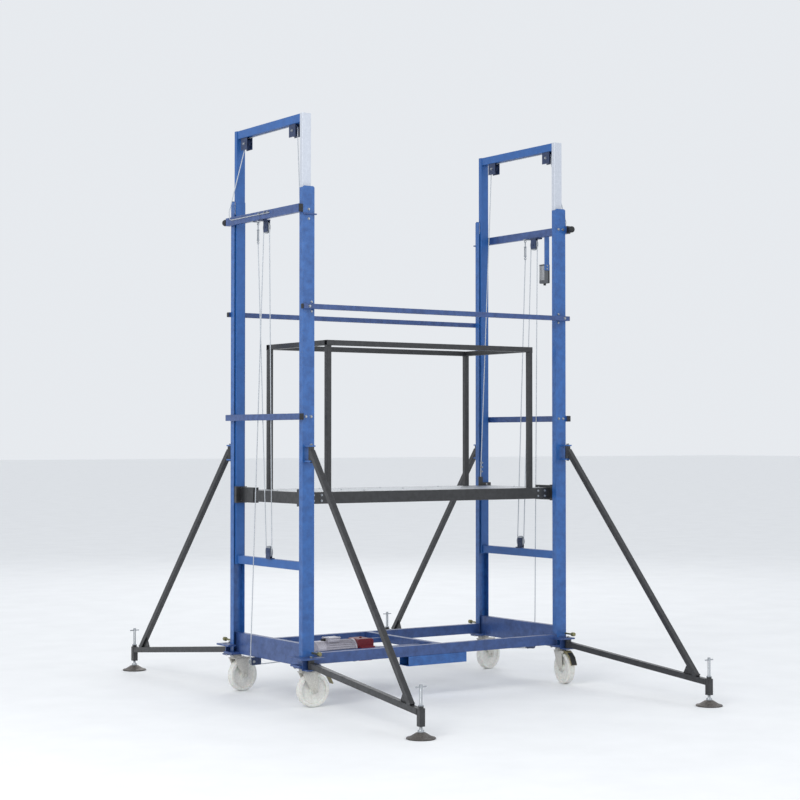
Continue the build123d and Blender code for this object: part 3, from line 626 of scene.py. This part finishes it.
for name, s in LEFT_RIGHT.items():
    x, y = s * 0.980, hook_y[name]
    parts = [threaded("screw", 0.0042, 2.846, 2.885, 0.003), ring("eye", 0.0085, 0.003, (0, 0, 2.8925), (1, 0, 0))]
    parts.append(threaded("screw", 0.0042, 2.786, 2.800, 0.003))
    parts.append(ring("eye", 0.0080, 0.003, (0, 0, 2.7765), (1, 0, 0)))
    for dy in (-0.0065, 0.0065):
        parts.append(block("side", (-0.003, dy - 0.0022, 2.790), (0.003, dy + 0.0022, 2.856), 0.0014))
    for z in (2.789, 2.850):
        parts.append(block("end", (-0.0055, -0.0085, z), (0.0055, 0.0085, z + 0.008), 0.002))
    buckle = gathered(f"turnbuckle_{name}", parts)
    buckle.data.transform(Matrix.Translation((x, y, 0)))
    lug = block("lug", (s * 0.971, y - 0.014, 2.901), (s * 1.025, y + 0.014, 2.907), 0.001)
    fitted(gathered(f"turnbuckle_{name}", [buckle, lug]), zinc, "base")
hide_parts("turnbuckles")

# ---- winch ----
# A rope winch: a finned motor with a fan cowl and terminal box, sprayed silver grey, a bolted gear case,
# sprayed dark red, and a flanged drum wound with rope. The rating plates are plain white.
red_spray = grain(finish("dark_red_sprayed_casting", "#6E1420", 0.0, 0.42, IOR=1.5),
                  "#7E1A26", "#551019", 5, bump_mm=0.12, rough=(0.36, 0.55))
plate_white = grain(finish("white_printed_plate", "#E6E7E8", 0.0, 0.4),
                    "#ECEDEE", "#DADBDD", 8, bump_mm=0.01, rough=(0.34, 0.45))
motor_grey = grain(finish("silver_grey_sprayed_aluminium", "#B9B6BE", 0.35, 0.42),
                   "#C9C6CE", "#9E9BA5", 6, bump_mm=0.08, rough=(0.34, 0.52))
DRUM_X, DRUM_Z, MOTOR_Y, MOTOR_Z = -0.400, 0.250, -0.142, 0.290
FLANGE_X, COVER_Z, LID_FOOT, LID_TOP = DRUM_X - 0.058, 0.285, 0.358, 0.366
shell = turned("shell", [(0, 0), (0.050, 0), (0.052, 0.004), (0.052, 0.215), (0.058, 0.219), (0.058, 0.268),
                         (0.052, 0.278), (0.018, 0.2795), (0.016, 0.2775), (0, 0.2775)], 48)
parts = [shell, turned("flange", [(0, 0), (0.058, 0), (0.058, 0.011), (0.054, 0.013), (0, 0.013)], 48)]
for i in range(26):
    angle = 2 * math.pi * i / 26
    fin = block("fin", (0.050, -0.0012, 0.016), (0.0575, 0.0012, 0.213), 0.0008)
    fin.data.transform(Matrix.Rotation(angle, 4, "Z"))
    parts.append(fin)
for i in range(8):
    slit = ring("vent", 0.006 + 0.005 * i, 0.0009, (0, 0, 0.2785), (0, 0, 1))
    parts.append(slit)
motor = gathered("winch_motor_body", parts)
motor.data.transform(Matrix.Translation((FLANGE_X, MOTOR_Y, MOTOR_Z)) @ Matrix.Rotation(-math.pi / 2, 4, "Y"))
BOX_LEFT, BOX_RIGHT = FLANGE_X - 0.200, FLANGE_X - 0.110
terminal = block("terminal", (BOX_LEFT, MOTOR_Y - 0.035, MOTOR_Z + 0.045),
                 (BOX_RIGHT, MOTOR_Y + 0.035, LID_FOOT), 0.004)
lid = block("lid", (BOX_LEFT - 0.002, MOTOR_Y - 0.037, LID_FOOT),
            (BOX_RIGHT + 0.002, MOTOR_Y + 0.037, LID_TOP), 0.003)
motor = gathered("winch_motor_body", [motor, terminal, lid])
fitted(motor, motor_grey, "base")
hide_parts("winch_motor")
label = block("winch_rating_plate", (BOX_LEFT + 0.014, MOTOR_Y - 0.026, 0.3655),
              (BOX_RIGHT - 0.022, MOTOR_Y + 0.026, 0.3664), 0.0002)
fitted(label, plate_white, "base")
side_label = block("winch_side_plate", (DRUM_X - 0.041, -0.2018, 0.235),
                   (DRUM_X + 0.041, -0.2008, 0.288), 0.0002)
fitted(side_label, plate_white, "base")
screws = [bolt((x, MOTOR_Y + y, LID_TOP), (0, 0, 1), 0.0032, washer=False)
          for x in (BOX_LEFT + 0.004, BOX_RIGHT - 0.006) for y in (-0.031, 0.031)]
fitted(gathered("terminal_screws", screws), zinc, "base")
inlet = turned("cable_inlet", [(0, 0), (0.009, 0), (0.009, 0.010), (0.0075, 0.012), (0.0075, 0.026),
                               (0.0045, 0.0285), (0, 0.0285)], 24)
fitted(stood(inlet, (BOX_LEFT, MOTOR_Y, 0.352), (-1, 0, 0)), black_plug, "base")

dress(red_spray, "winch_gearbox")
case_parts = [turned("cover", [(0, 0), (0.042, 0), (0.042, 0.004), (0.038, 0.006), (0.016, 0.006), (0.014, 0.009),
                               (0, 0.009)], 40)]
stood(case_parts[0], (DRUM_X + 0.058, MOTOR_Y, COVER_Z), (1, 0, 0))
for i in range(6):
    angle = 2 * math.pi * i / 6
    bolt_y, bolt_z = MOTOR_Y + 0.034 * math.cos(angle), COVER_Z + 0.034 * math.sin(angle)
    case_parts.append(bolt((DRUM_X + 0.0615, bolt_y, bolt_z), (1, 0, 0), 0.004, washer=False))
for x in (DRUM_X - 0.045, DRUM_X + 0.045):
    for z in (0.224, 0.335):
        case_parts.append(bolt((x, -0.2005, z), (0, -1, 0), 0.005))
case_parts.append(turned("filler", [(0, 0), (0.009, 0), (0.009, 0.006), (0.006, 0.008), (0, 0.008)], 6))
stood(case_parts[-1], (DRUM_X, MOTOR_Y, 0.3478), (0, 0, 1))
fitted(gathered("gearbox_covers", case_parts), red_spray, "base")

dress(zinc, "winch_drum")


def winding(name, first, last, turns, radius):
    """Rope laid side by side on the drum as one helix."""
    count = turns * 28
    points = []
    for i in range(count + 1):
        angle = 2 * math.pi * turns * i / count
        points.append((DRUM_X + radius * math.cos(angle), first + (last - first) * i / count,
                       DRUM_Z + radius * math.sin(angle)))
    return rope_tube(name, points, step=1.0)


for name, first, last in (("front", -0.066, 0.036), ("rear", 0.058, 0.172)):
    wound = winding(f"drum_winding_{name}", first, last, int(abs(last - first) / 0.0066), 0.0381)
    fitted(wound, wire_rope, "drum")

# ---- pendant control ----
# A two-button station in moulded grey plastic with a black front and light grey grip ribs, on a flat blue
# hanger from the right crossbar. Its cable socket is underneath, with a screwed cap over it.
moulded_grey = grain(finish("grey_moulded_abs", "#55585C", 0.0, 0.48),
                     "#606367", "#484B4F", 2.0, bump_mm=0.03, rough=(0.42, 0.55))
moulded_black = grain(finish("black_moulded_abs", "#1C1D1F", 0.0, 0.42),
                      "#222326", "#161719", 2.0, bump_mm=0.03, rough=(0.38, 0.5))
button_green = grain(finish("green_button_plastic", "#1E7A3C", 0.0, 0.3, Coat_Weight=0.4),
                     "#228444", "#1A6C35", 5, bump_mm=0.01, rough=(0.26, 0.34))
button_red = grain(finish("red_button_plastic", "#B01822", 0.0, 0.3, Coat_Weight=0.4),
                   "#BC1C27", "#9E141D", 5, bump_mm=0.01, rough=(0.26, 0.34))
PENDANT = Vector((1.056, -0.146, 2.670))
BUTTON_HEIGHTS = (0.024, -0.016)


def moulding(name, low, high, ease):
    """A block placed from the middle of the pendant."""
    return block(name, PENDANT + Vector(low), PENDANT + Vector(high), ease)


body = moulding("pendant_back", (-0.023, -0.033, -0.064), (0.008, 0.033, 0.064), 0.006)
fitted(body, moulded_grey, "base")
ribs = [moulding("rib", (-0.0262, y - 0.0042, -0.044), (-0.0228, y + 0.0042, 0.052), 0.0015)
        for y in (-0.021, -0.007, 0.007, 0.021)]
light_grey = grain(finish("light_grey_moulded_abs", "#B4B6B8", 0.0, 0.48),
                   "#BEC0C2", "#A6A8AA", 2.0, bump_mm=0.03, rough=(0.42, 0.55))
fitted(gathered("pendant_grip_ribs", ribs), light_grey, "base")
front = moulding("pendant_front", (0.0085, -0.0325, -0.0635), (0.0185, 0.0325, 0.0635), 0.005)
for z in BUTTON_HEIGHTS:
    deselect()
    bpy.ops.mesh.primitive_cylinder_add(vertices=48, radius=0.0116, depth=0.05, rotation=(0, math.pi / 2, 0),
                                        location=PENDANT + Vector((0, 0, z)))
    drill = fresh("drill")
    only(front)
    hole = front.modifiers.new("button_hole", "BOOLEAN")
    hole.operation, hole.solver, hole.object = "DIFFERENCE", "EXACT", drill
    bpy.ops.object.modifier_apply(modifier=hole.name)
    bpy.data.objects.remove(drill)
collars = [turned("collar", [(0.0118, 0), (0.0150, 0), (0.0150, 0.003), (0.0142, 0.0045), (0.0126, 0.0045),
                             (0.0118, 0.003), (0.0118, 0)], 32) for _ in range(2)]
for collar, z in zip(collars, BUTTON_HEIGHTS):
    stood(collar, PENDANT + Vector((0.0184, 0, z)), (1, 0, 0))
fitted(gathered("pendant_front", [front] + collars), moulded_black, "base")
cap = turned("pendant_socket_cap", [(0, 0.006), (0.009, 0.006), (0.009, -0.010), (0.008, -0.0125), (0, -0.013)],
             24)
fitted(stood(cap, PENDANT + Vector((0, 0, -0.064)), (0, 0, 1)), moulded_black, "base")
hanger_y = PENDANT.y - 0.033
hanger = block("hanger", (1.0255, hanger_y - 0.0038, 2.691), (1.0658, hanger_y - 0.0002, 2.927), 0.0009)
hanger_bolts = [bolt((1.0455, hanger_y - 0.004, z), (0, -1, 0), 0.005) for z in (2.702, 2.722)]
fitted(hanger, blue_enamel, "base").name = "pendant_hanger"
fitted(gathered("pendant_hanger_bolts", hanger_bolts), zinc, "base")
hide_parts("pendant_box")
buttons = (("up", button_green, "green_plastic"), ("down", button_red, "red_plastic"))
for (name, material, slot), z in zip(buttons, BUTTON_HEIGHTS):
    cap = turned(f"push_{name}", [(0, 0), (0.011, 0), (0.011, 0.0075), (0.0102, 0.0088), (0.004, 0.0084),
                                  (0, 0.0082)], 32)
    fitted(stood(cap, PENDANT + Vector((0.0190, 0, z)), (1, 0, 0)), material, f"{name}_button")
    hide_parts(f"button_{name}")

# ---- work platform ----
# A welded frame of square tube, painted black, with a deck of aluminium tread plate and open guides that
# run on the inner posts. The guardrail is a loop of tube on four uprights welded to the deck frame.
black_enamel = grain(finish("black_enamel_on_steel", "#222325", 0.0, 0.38, IOR=1.5, Coat_Weight=0.2,
                            Coat_Roughness=0.25),
                     "#2B2C2F", "#1A1B1D", 30, bump_mm=0.06, rough=(0.32, 0.48))
dress(black_enamel, "platform_frame", "platform_carriages", "guardrail")
tread = finish("aluminium_tread_plate", "#9EA2A6", 1.0, 0.42)
_, tree, shader = tread
place = add_node(tree, "ShaderNodeTexCoord")
relief_height = None
for turn_degrees in (45, -45):
    grid = add_node(tree, "ShaderNodeMapping", {"Rotation": (0, 0, math.radians(turn_degrees)),
                                               "Scale": (1000 / 34, 1000 / 12,
                                                         1)}, {"Vector": place.outputs["Object"]})
    lozenge = add_node(tree, "ShaderNodeTexVoronoi", {"feature": "F1", "Scale": 1.0, "Randomness": 0.0,
                                                      "voronoi_dimensions": "2D"}, {"Vector": grid.outputs[0]})
    raised = add_node(tree, "ShaderNodeMapRange", {"From Min": 0.36, "From Max": 0.24},
                      {"Value": lozenge.outputs["Distance"]})
    if relief_height is None:
        relief_height = raised
    else:
        relief_height = add_node(tree, "ShaderNodeMath", {"operation": "MAXIMUM"},
                                 {0: relief_height.outputs[0], 1: raised.outputs[0]})
relief = add_node(tree, "ShaderNodeBump", {"Strength": 0.9, "Distance": 0.0012},
                  {"Height": relief_height.outputs[0]})
smudge = add_node(tree, "ShaderNodeTexNoise", {"Scale": 14.0, "Detail": 5.0}, {"Vector": place.outputs["Object"]})
shade = add_node(tree, "ShaderNodeMix", {"data_type": "RGBA", 6: linear("#7D8185"), 7: linear("#B4B8BC")},
                 {0: smudge.outputs["Fac"]})
feed(tree, shader, Base_Color=shade.outputs[2], Normal=relief.outputs[0])
dress(tread[0], "deck_plates")

DECK_Z, GUARD_X, GUARD_Y, UPRIGHT_HALF = 1.258, 0.765, 0.345, 0.016
deck_bolts, deck_welds = [], []
for s in LEFT_RIGHT.values():
    for t in FRONT_REAR.values():
        x, y = s * GUARD_X, t * GUARD_Y
        for k in (-1, 1):
            beside, before = x + k * UPRIGHT_HALF, y + k * UPRIGHT_HALF
            deck_welds.append(bead((x - UPRIGHT_HALF, before, DECK_Z), (x + UPRIGHT_HALF, before, DECK_Z)))
            deck_welds.append(bead((beside, y - UPRIGHT_HALF, DECK_Z), (beside, y + UPRIGHT_HALF, DECK_Z)))
        outer = y + t * UPRIGHT_HALF
        deck_welds.append(bead((x - UPRIGHT_HALF, outer, 2.134), (x + UPRIGHT_HALF, outer, 2.134)))
        for z in (DECK_Z - 0.052, DECK_Z - 0.018):
            for dx in (0.050, 0.105):
                deck_bolts.append(bolt((s * (0.926 - dx), t * 0.365, z), (0, t, 0), 0.006))
        for z in (DECK_Z - 0.070, DECK_Z + 0.008):
            deck_bolts.append(bolt((s * MAST_X, t * 0.365, z), (0, -t, 0), 0.005))
    for y in (-0.26, 0.0, 0.26):
        deck_bolts.append(bolt((s * 0.910, y, DECK_Z), (0, 0, 1), 0.004))
for x in (-0.463, 0.0, 0.463):
    for y in (-0.26, 0.0, 0.26):
        deck_bolts.append(bolt((x + 0.012, y, DECK_Z), (0, 0, 1), 0.004))
fitted(gathered("deck_bolts", deck_bolts), zinc, "platform")
fitted(gathered("guardrail_welds", deck_welds), black_enamel, "platform")

# ---- casters ----
# Plate-mounted swivel casters: a zinc plated pressed fork on a double ball race, a solid cast nylon wheel
# on ball bearings and, at the front, a foot brake painted dull yellow with a black tread.
nylon = grain(finish("white_cast_nylon", "#D9D9D4", 0.0, 0.42, Subsurface_Weight=0.08),
              "#E2E2DD", "#C9C9C3", 14, bump_mm=0.08, rough=(0.38, 0.52))
dress(nylon, "guide_pads")
yellow_paint = grain(finish("dull_yellow_enamel", "#857C5A", 0.0, 0.46),
                     "#928963", "#6C654A", 14, bump_mm=0.05, rough=(0.36, 0.5))
fork_zinc = grain(finish("white_zinc_pressing", "#C3C1BA", 0.3, 0.48),
                  "#CFCDC6", "#B1AFA8", 7, bump_mm=0.05, rough=(0.4, 0.56))
TRAIL, WHEEL_R = 0.050, 0.100


def sheet_cut(name, outline, thick, y=0.0):
    """Sheet metal cut to an outline in the XZ plane and given its thickness."""
    mesh = bpy.data.meshes.new(name)
    mesh.from_pydata([(x, y, z) for x, z in outline], [], [tuple(range(len(outline)))])
    piece = bpy.data.objects.new(name, mesh)
    bpy.context.collection.objects.link(piece)
    only(piece)
    wall = piece.modifiers.new("sheet", "SOLIDIFY")
    wall.thickness, wall.offset = thick, 0
    bpy.ops.object.modifier_apply(modifier=wall.name)
    mode("EDIT")
    bpy.ops.mesh.select_all(action="SELECT")
    bpy.ops.mesh.normals_make_consistent(inside=False)
    mode("OBJECT")
    return soften(fresh(name), min(thick * 0.2, 0.0008))


def fork():
    round_end = [(TRAIL + 0.022 * math.cos(a), WHEEL_R + 0.022 * math.sin(a))
                 for a in [math.radians(-i * 15) for i in range(13)]]
    outline = [(0.066, 0.205)] + round_end + [(-0.004, 0.150), (-0.030, 0.205)]
    parts = [sheet_cut("leg", outline, 0.0048, y) for y in (-0.0305, 0.0305)]
    parts.append(block("bridge", (-0.036, -0.033, 0.2055), (0.066, 0.033, 0.2108), 0.002))
    for y in (-0.0305, 0.0305):
        parts.append(block("ear", (0.058, y - 0.0024, 0.194), (0.086, y + 0.0024, 0.2125), 0.0015))
    for z0, z1, r in ((0.2105, 0.2170, 0.0350), (0.2175, 0.2240, 0.0368), (0.2245, 0.2315, 0.0340)):
        parts.append(turned("race", [(0, z0), (r - 0.002, z0), (r, z0 + 0.002), (r, z1 - 0.002), (r - 0.002, z1),
                                     (0, z1)]))
    parts.append(stood(turned("pin", [(0, -0.037), (0.0045, -0.037), (0.0045, 0.037), (0, 0.037)], 16),
                       (0.077, 0, 0.206), (0, 1, 0)))
    for y, k in ((-0.0332, -1), (0.0332, 1)):
        parts.append(bolt((TRAIL, y, WHEEL_R), (0, k, 0), 0.0085))
    return gathered("fork", parts)


def wheel():
    """Turned about its own axle: tread with rounded shoulders, dished web, raised hub, bearing and bush."""
    half = [(0.0085, 0.027), (0.0215, 0.027), (0.0225, 0.026), (0.0225, 0.014), (0.026, 0.0115), (0.070, 0.0115),
            (0.076, 0.014), (0.078, 0.020), (0.080, 0.0222), (0.093, 0.0230), (0.0975, 0.0215), (0.0993, 0.0180),
            (0.1000, 0.0120)]
    outline = [(r, z) for r, z in half] + [(r, -z) for r, z in reversed(half)] + [(0.0085, 0.027)]
    return turned("wheel", outline, 72)


fork_master, wheel_master = fork(), wheel()
bearing_master = gathered("bearing", [turned("bush", [(0.0083, 0.0), (0.0175, 0.0), (0.0175, 0.0020),
                                                      (0.0150, 0.0024),
                                                      (0.0110, 0.0024), (0.0083, 0.0012), (0.0083, 0)], 32)])
pedal_outline = [(0.070, 0.206), (0.076, 0.2135), (0.118, 0.2055), (0.1545, 0.1780), (0.1770, 0.1320),
                 (0.1715, 0.1285), (0.1485, 0.1705), (0.112, 0.1965), (0.078, 0.1995)]
pedal_master = sheet_cut("pedal", pedal_outline, 0.043)
tread_outline = [(0.1170, 0.2045), (0.1185, 0.2060), (0.1555, 0.1790), (0.1785, 0.1328), (0.1760, 0.1315),
                 (0.1520, 0.1765)]
tread_master = sheet_cut("tread", tread_outline, 0.037)
for corner, s, t in CORNERS:
    swivel = Vector(joint[f"swivel_{corner}"]["pos_m"])
    axle = Vector(joint[f"roll_{corner}"]["pos_m"])
    trail = math.atan2(axle.y - swivel.y, axle.x - swivel.x)
    stance = Matrix.Translation((swivel.x, swivel.y, 0)) @ Matrix.Rotation(trail, 4, "Z")
    forked = another(fork_master, f"fork_{corner}", stance)
    fitted(forked, fork_zinc, f"fork_{corner}")
    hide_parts(f"caster_fork_{corner}")
    mount_axle = stance @ Matrix.Translation((TRAIL, 0, WHEEL_R)) @ Matrix.Rotation(-math.pi / 2, 4, "X")
    rolling = another(wheel_master, f"wheel_{corner}", mount_axle)
    fitted(rolling, nylon, f"wheel_{corner}")
    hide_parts(f"caster_wheel_{corner}")
    bushes = [another(bearing_master, "bush", mount_axle @ Matrix.Translation((0, 0, 0.0268))),
              another(bearing_master, "bush", mount_axle @ Matrix.Rotation(math.pi, 4, "X")
                      @ Matrix.Translation((0, 0, 0.0268)))]
    fitted(gathered(f"wheel_bearings_{corner}", bushes), zinc, f"wheel_{corner}")
    nuts = [bolt((s * 0.965 + dx, t * 0.415 + dy, 0.2318), (0, 0, -1), 0.006)
            for dx in (-0.047, 0.047) for dy in (-0.034, 0.034)]
    fitted(gathered(f"caster_bolts_{corner}", nuts), zinc, "base")
    if t < 0:
        braking = another(pedal_master, f"pedal_{corner}", stance)
        fitted(braking, yellow_paint, f"pedal_{corner}")
        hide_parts(f"brake_pedal_{corner}")
        fitted(another(tread_master, f"pedal_tread_{corner}", stance), black_plug, f"pedal_{corner}")
for master in (fork_master, wheel_master, bearing_master, pedal_master, tread_master):
    bpy.data.objects.remove(master)

# ---- lock knobs ----
# Dull brass hand screws at the foot of each post that clamp the outrigger in the direction it is swung to.
# The grip's rim is notched.
brass = grain(finish("dull_brass", "#8E8A62", 0.8, 0.4),
              "#9A956B", "#74704E", 4, bump_mm=0.01, rough=(0.26, 0.4))
for corner, s, t in CORNERS:
    x = s * (MAST_X + (0.033 if s != t else -0.027))
    stem = threaded("stem", 0.0058, 0.0, 0.062, 0.0035)
    grip = turned("grip", [(0, 0.0615), (0.0075, 0.0615), (0.0085, 0.066), (0.0122, 0.067), (0.0130, 0.069),
                           (0.0130, 0.088), (0.0120, 0.0905), (0.0060, 0.0918), (0, 0.0919)], 24)
    for vertex in grip.data.vertices:
        radius = math.hypot(vertex.co.x, vertex.co.y)
        if radius > 0.0125:
            angle = math.atan2(vertex.co.y, vertex.co.x)
            dent = 1 - 0.05 * (round(angle / (2 * math.pi / 24)) % 2)
            vertex.co.x *= dent
            vertex.co.y *= dent
    knob = gathered(f"lock_knob_{corner}", [stem, grip])
    fitted(stood(knob, (x, t * POST_FACE, 0.318), (0, t, 0)), brass, "base")
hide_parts("lock_knobs")

# ---- crossbar hand knobs ----
# Lobed black moulded knobs on short necks at the long ends of the crossbars, each on a square end plate
# that closes the tube.
knobs = []
for s in LEFT_RIGHT.values():
    knob = turned("knob", [(0, -0.002), (0.0092, -0.002), (0.0092, 0.0105), (0.0150, 0.0120), (0.0190, 0.0145),
                           (0.0209, 0.0180), (0.0209, 0.0360), (0.0190, 0.0405), (0.0150, 0.0435),
                           (0.0070, 0.0448), (0, 0.0450)], 40)
    for vertex in knob.data.vertices:
        radius = math.hypot(vertex.co.x, vertex.co.y)
        if radius > 0.0195:
            angle = math.atan2(vertex.co.y, vertex.co.x)
            lobe = 1 - 0.035 * (0.5 - 0.5 * math.cos(10 * angle))
            vertex.co.x *= lobe
            vertex.co.y *= lobe
    plate_x = s * BAR_X
    knobs.append(stood(knob, (plate_x, -s * 0.449, CROSSBAR_Z), (0, -s, 0)))
    knobs.append(block("plate", (plate_x - 0.0148, min(-s * 0.447, -s * 0.451), 2.9075),
                       (plate_x + 0.0148, max(-s * 0.447, -s * 0.451), 2.9565), 0.0008))
fitted(gathered("crossbar_hand_knobs", knobs), black_plug, "base")
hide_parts("crossbar_knobs")

# ---- outriggers ----
# Swinging triangles of black square tube on two hinge pins, each ending in a sleeve that holds a screw
# jack. The jack's wide dished foot is a dull steel pressing with a black rubber sole.
dress(black_enamel, *[f"outrigger_{corner}" for corner, _, _ in CORNERS])
rubber = grain(finish("black_rubber", "#1A1B1C", 0.0, 0.6),
               "#202122", "#141516", 3.0, bump_mm=0.03, rough=(0.52, 0.68))
jack_steel = grain(finish("dull_zinc_pressing", "#6F6A66", 0.75, 0.5),
                   "#7C7773", "#5D5955", 9, bump_mm=0.06, rough=(0.42, 0.6))
bright_rod = grain(finish("bright_zinc_screw", "#B4B8BC", 1.0, 0.33),
                   "#C0C4C8", "#9A9EA2", 3, bump_mm=0.02, rough=(0.26, 0.42))


def jack_parts():
    """The screw with its tommy bar and collar, and the foot with its sole."""
    screw = threaded("screw", 0.009, 0.046, 0.268, 0.004)
    top = turned("top", [(0, 0.266), (0.0085, 0.266), (0.0090, 0.268), (0.0090, 0.283), (0.0075, 0.285),
                         (0, 0.285)], 24)
    bar = stood(turned("bar", [(0, -0.034), (0.0030, -0.034), (0.0040, -0.032), (0.0040, 0.032), (0.0030, 0.034),
                               (0, 0.034)], 16), (0, 0, 0.271), (0, 1, 0))
    collar = turned("collar", [(0, 0.034), (0.017, 0.034), (0.0175, 0.036), (0.0175, 0.0445), (0.0165, 0.046),
                               (0, 0.046)], 32)
    rod = gathered("rod", [screw, top, bar, collar])
    dish = turned("dish", [(0, 0.002), (0.076, 0.002), (0.0785, 0.004), (0.0785, 0.0068), (0.076, 0.0080),
                           (0.064, 0.0105), (0.052, 0.0165), (0.036, 0.0265), (0.026, 0.0325), (0.018, 0.0345),
                           (0, 0.0345)], 56)
    sole = turned("sole", [(0, 0), (0.0770, 0), (0.0785, 0.0012), (0.0785, 0.0034), (0.0770, 0.0042), (0, 0.0042)],
                  56)
    return rod, dish, sole


rod_master, dish_master, sole_master = jack_parts()
for corner, s, t in CORNERS:
    hinge = joint[f"swing_{corner}"]["pos_m"]
    foot_low, foot_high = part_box(f"jack_foot_{corner}")
    middle = (foot_low + foot_high) / 2
    heading = math.atan2(middle.y - hinge[1], middle.x - hinge[0])
    stance = Matrix.Translation((middle.x, middle.y, 0)) @ Matrix.Rotation(heading, 4, "Z")
    rod = fitted(another(rod_master, f"jack_rod_{corner}", stance), bright_rod, f"foot_{corner}")
    dish = fitted(another(dish_master, f"jack_dish_{corner}", stance), jack_steel, f"foot_{corner}")
    fitted(another(sole_master, f"jack_sole_{corner}", stance), rubber, f"foot_{corner}")
    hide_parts(f"jack_foot_{corner}")
    reach = (Vector((middle.x, middle.y)) - Vector(hinge[:2])).length
    swing = Matrix.Translation((hinge[0], hinge[1], 0)) @ Matrix.Rotation(heading, 4, "Z")
    beads = []
    for k in (-1, 1):
        beads.append(bead((0.019, k * 0.0175, 0.236), (0.019, k * 0.0175, 0.270)))
        beads.append(bead((reach - 0.0175, k * 0.0175, 0.124), (reach - 0.0175, k * 0.0175, 0.158)))
        beads.append(bead((1.085, k * 0.012, 0.186), (1.135, k * 0.012, 0.176)))
    beads.append(bead((0.0185, -0.014, 1.497), (0.0185, 0.014, 1.497)))
    seam = gathered(f"outrigger_welds_{corner}", beads)
    seam.data.transform(swing)
    fitted(seam, black_enamel, f"outrigger_{corner}")
    heads = [bolt((0, 0, z), (0, 0, 1), 0.0085) for z in (0.2965, 1.5365)]
    lock = turned("collar", [(0, 0.1715), (0.0165, 0.1715), (0.0165, 0.1735), (0.0125, 0.1765), (0.0125, 0.1780),
                             (0.0098, 0.1780), (0, 0.1780)], 6)
    lock.data.transform(Matrix.Translation((reach, 0, 0)))
    hardware = gathered(f"outrigger_pins_{corner}", heads + [lock])
    hardware.data.transform(swing)
    fitted(hardware, zinc, f"outrigger_{corner}")
for master in (rod_master, dish_master, sole_master):
    bpy.data.objects.remove(master)

# ---- floor ----
# A plain, matt, pale studio sheet under the wheels and feet. It is scenery, not part of the machine, and
# goes on far behind it.
deselect()
bpy.ops.mesh.primitive_plane_add(size=240, location=(0, 0, -0.0005))
floor = settled("studio_floor")
matt_sheet = grain(finish("matt_studio_sheet", "#F2F3F4", 0.0, 0.8),
                   "#F4F5F6", "#EFF0F1", 400, bump_mm=0.0, rough=(0.75, 0.85))
floor.data.materials.append(matt_sheet)
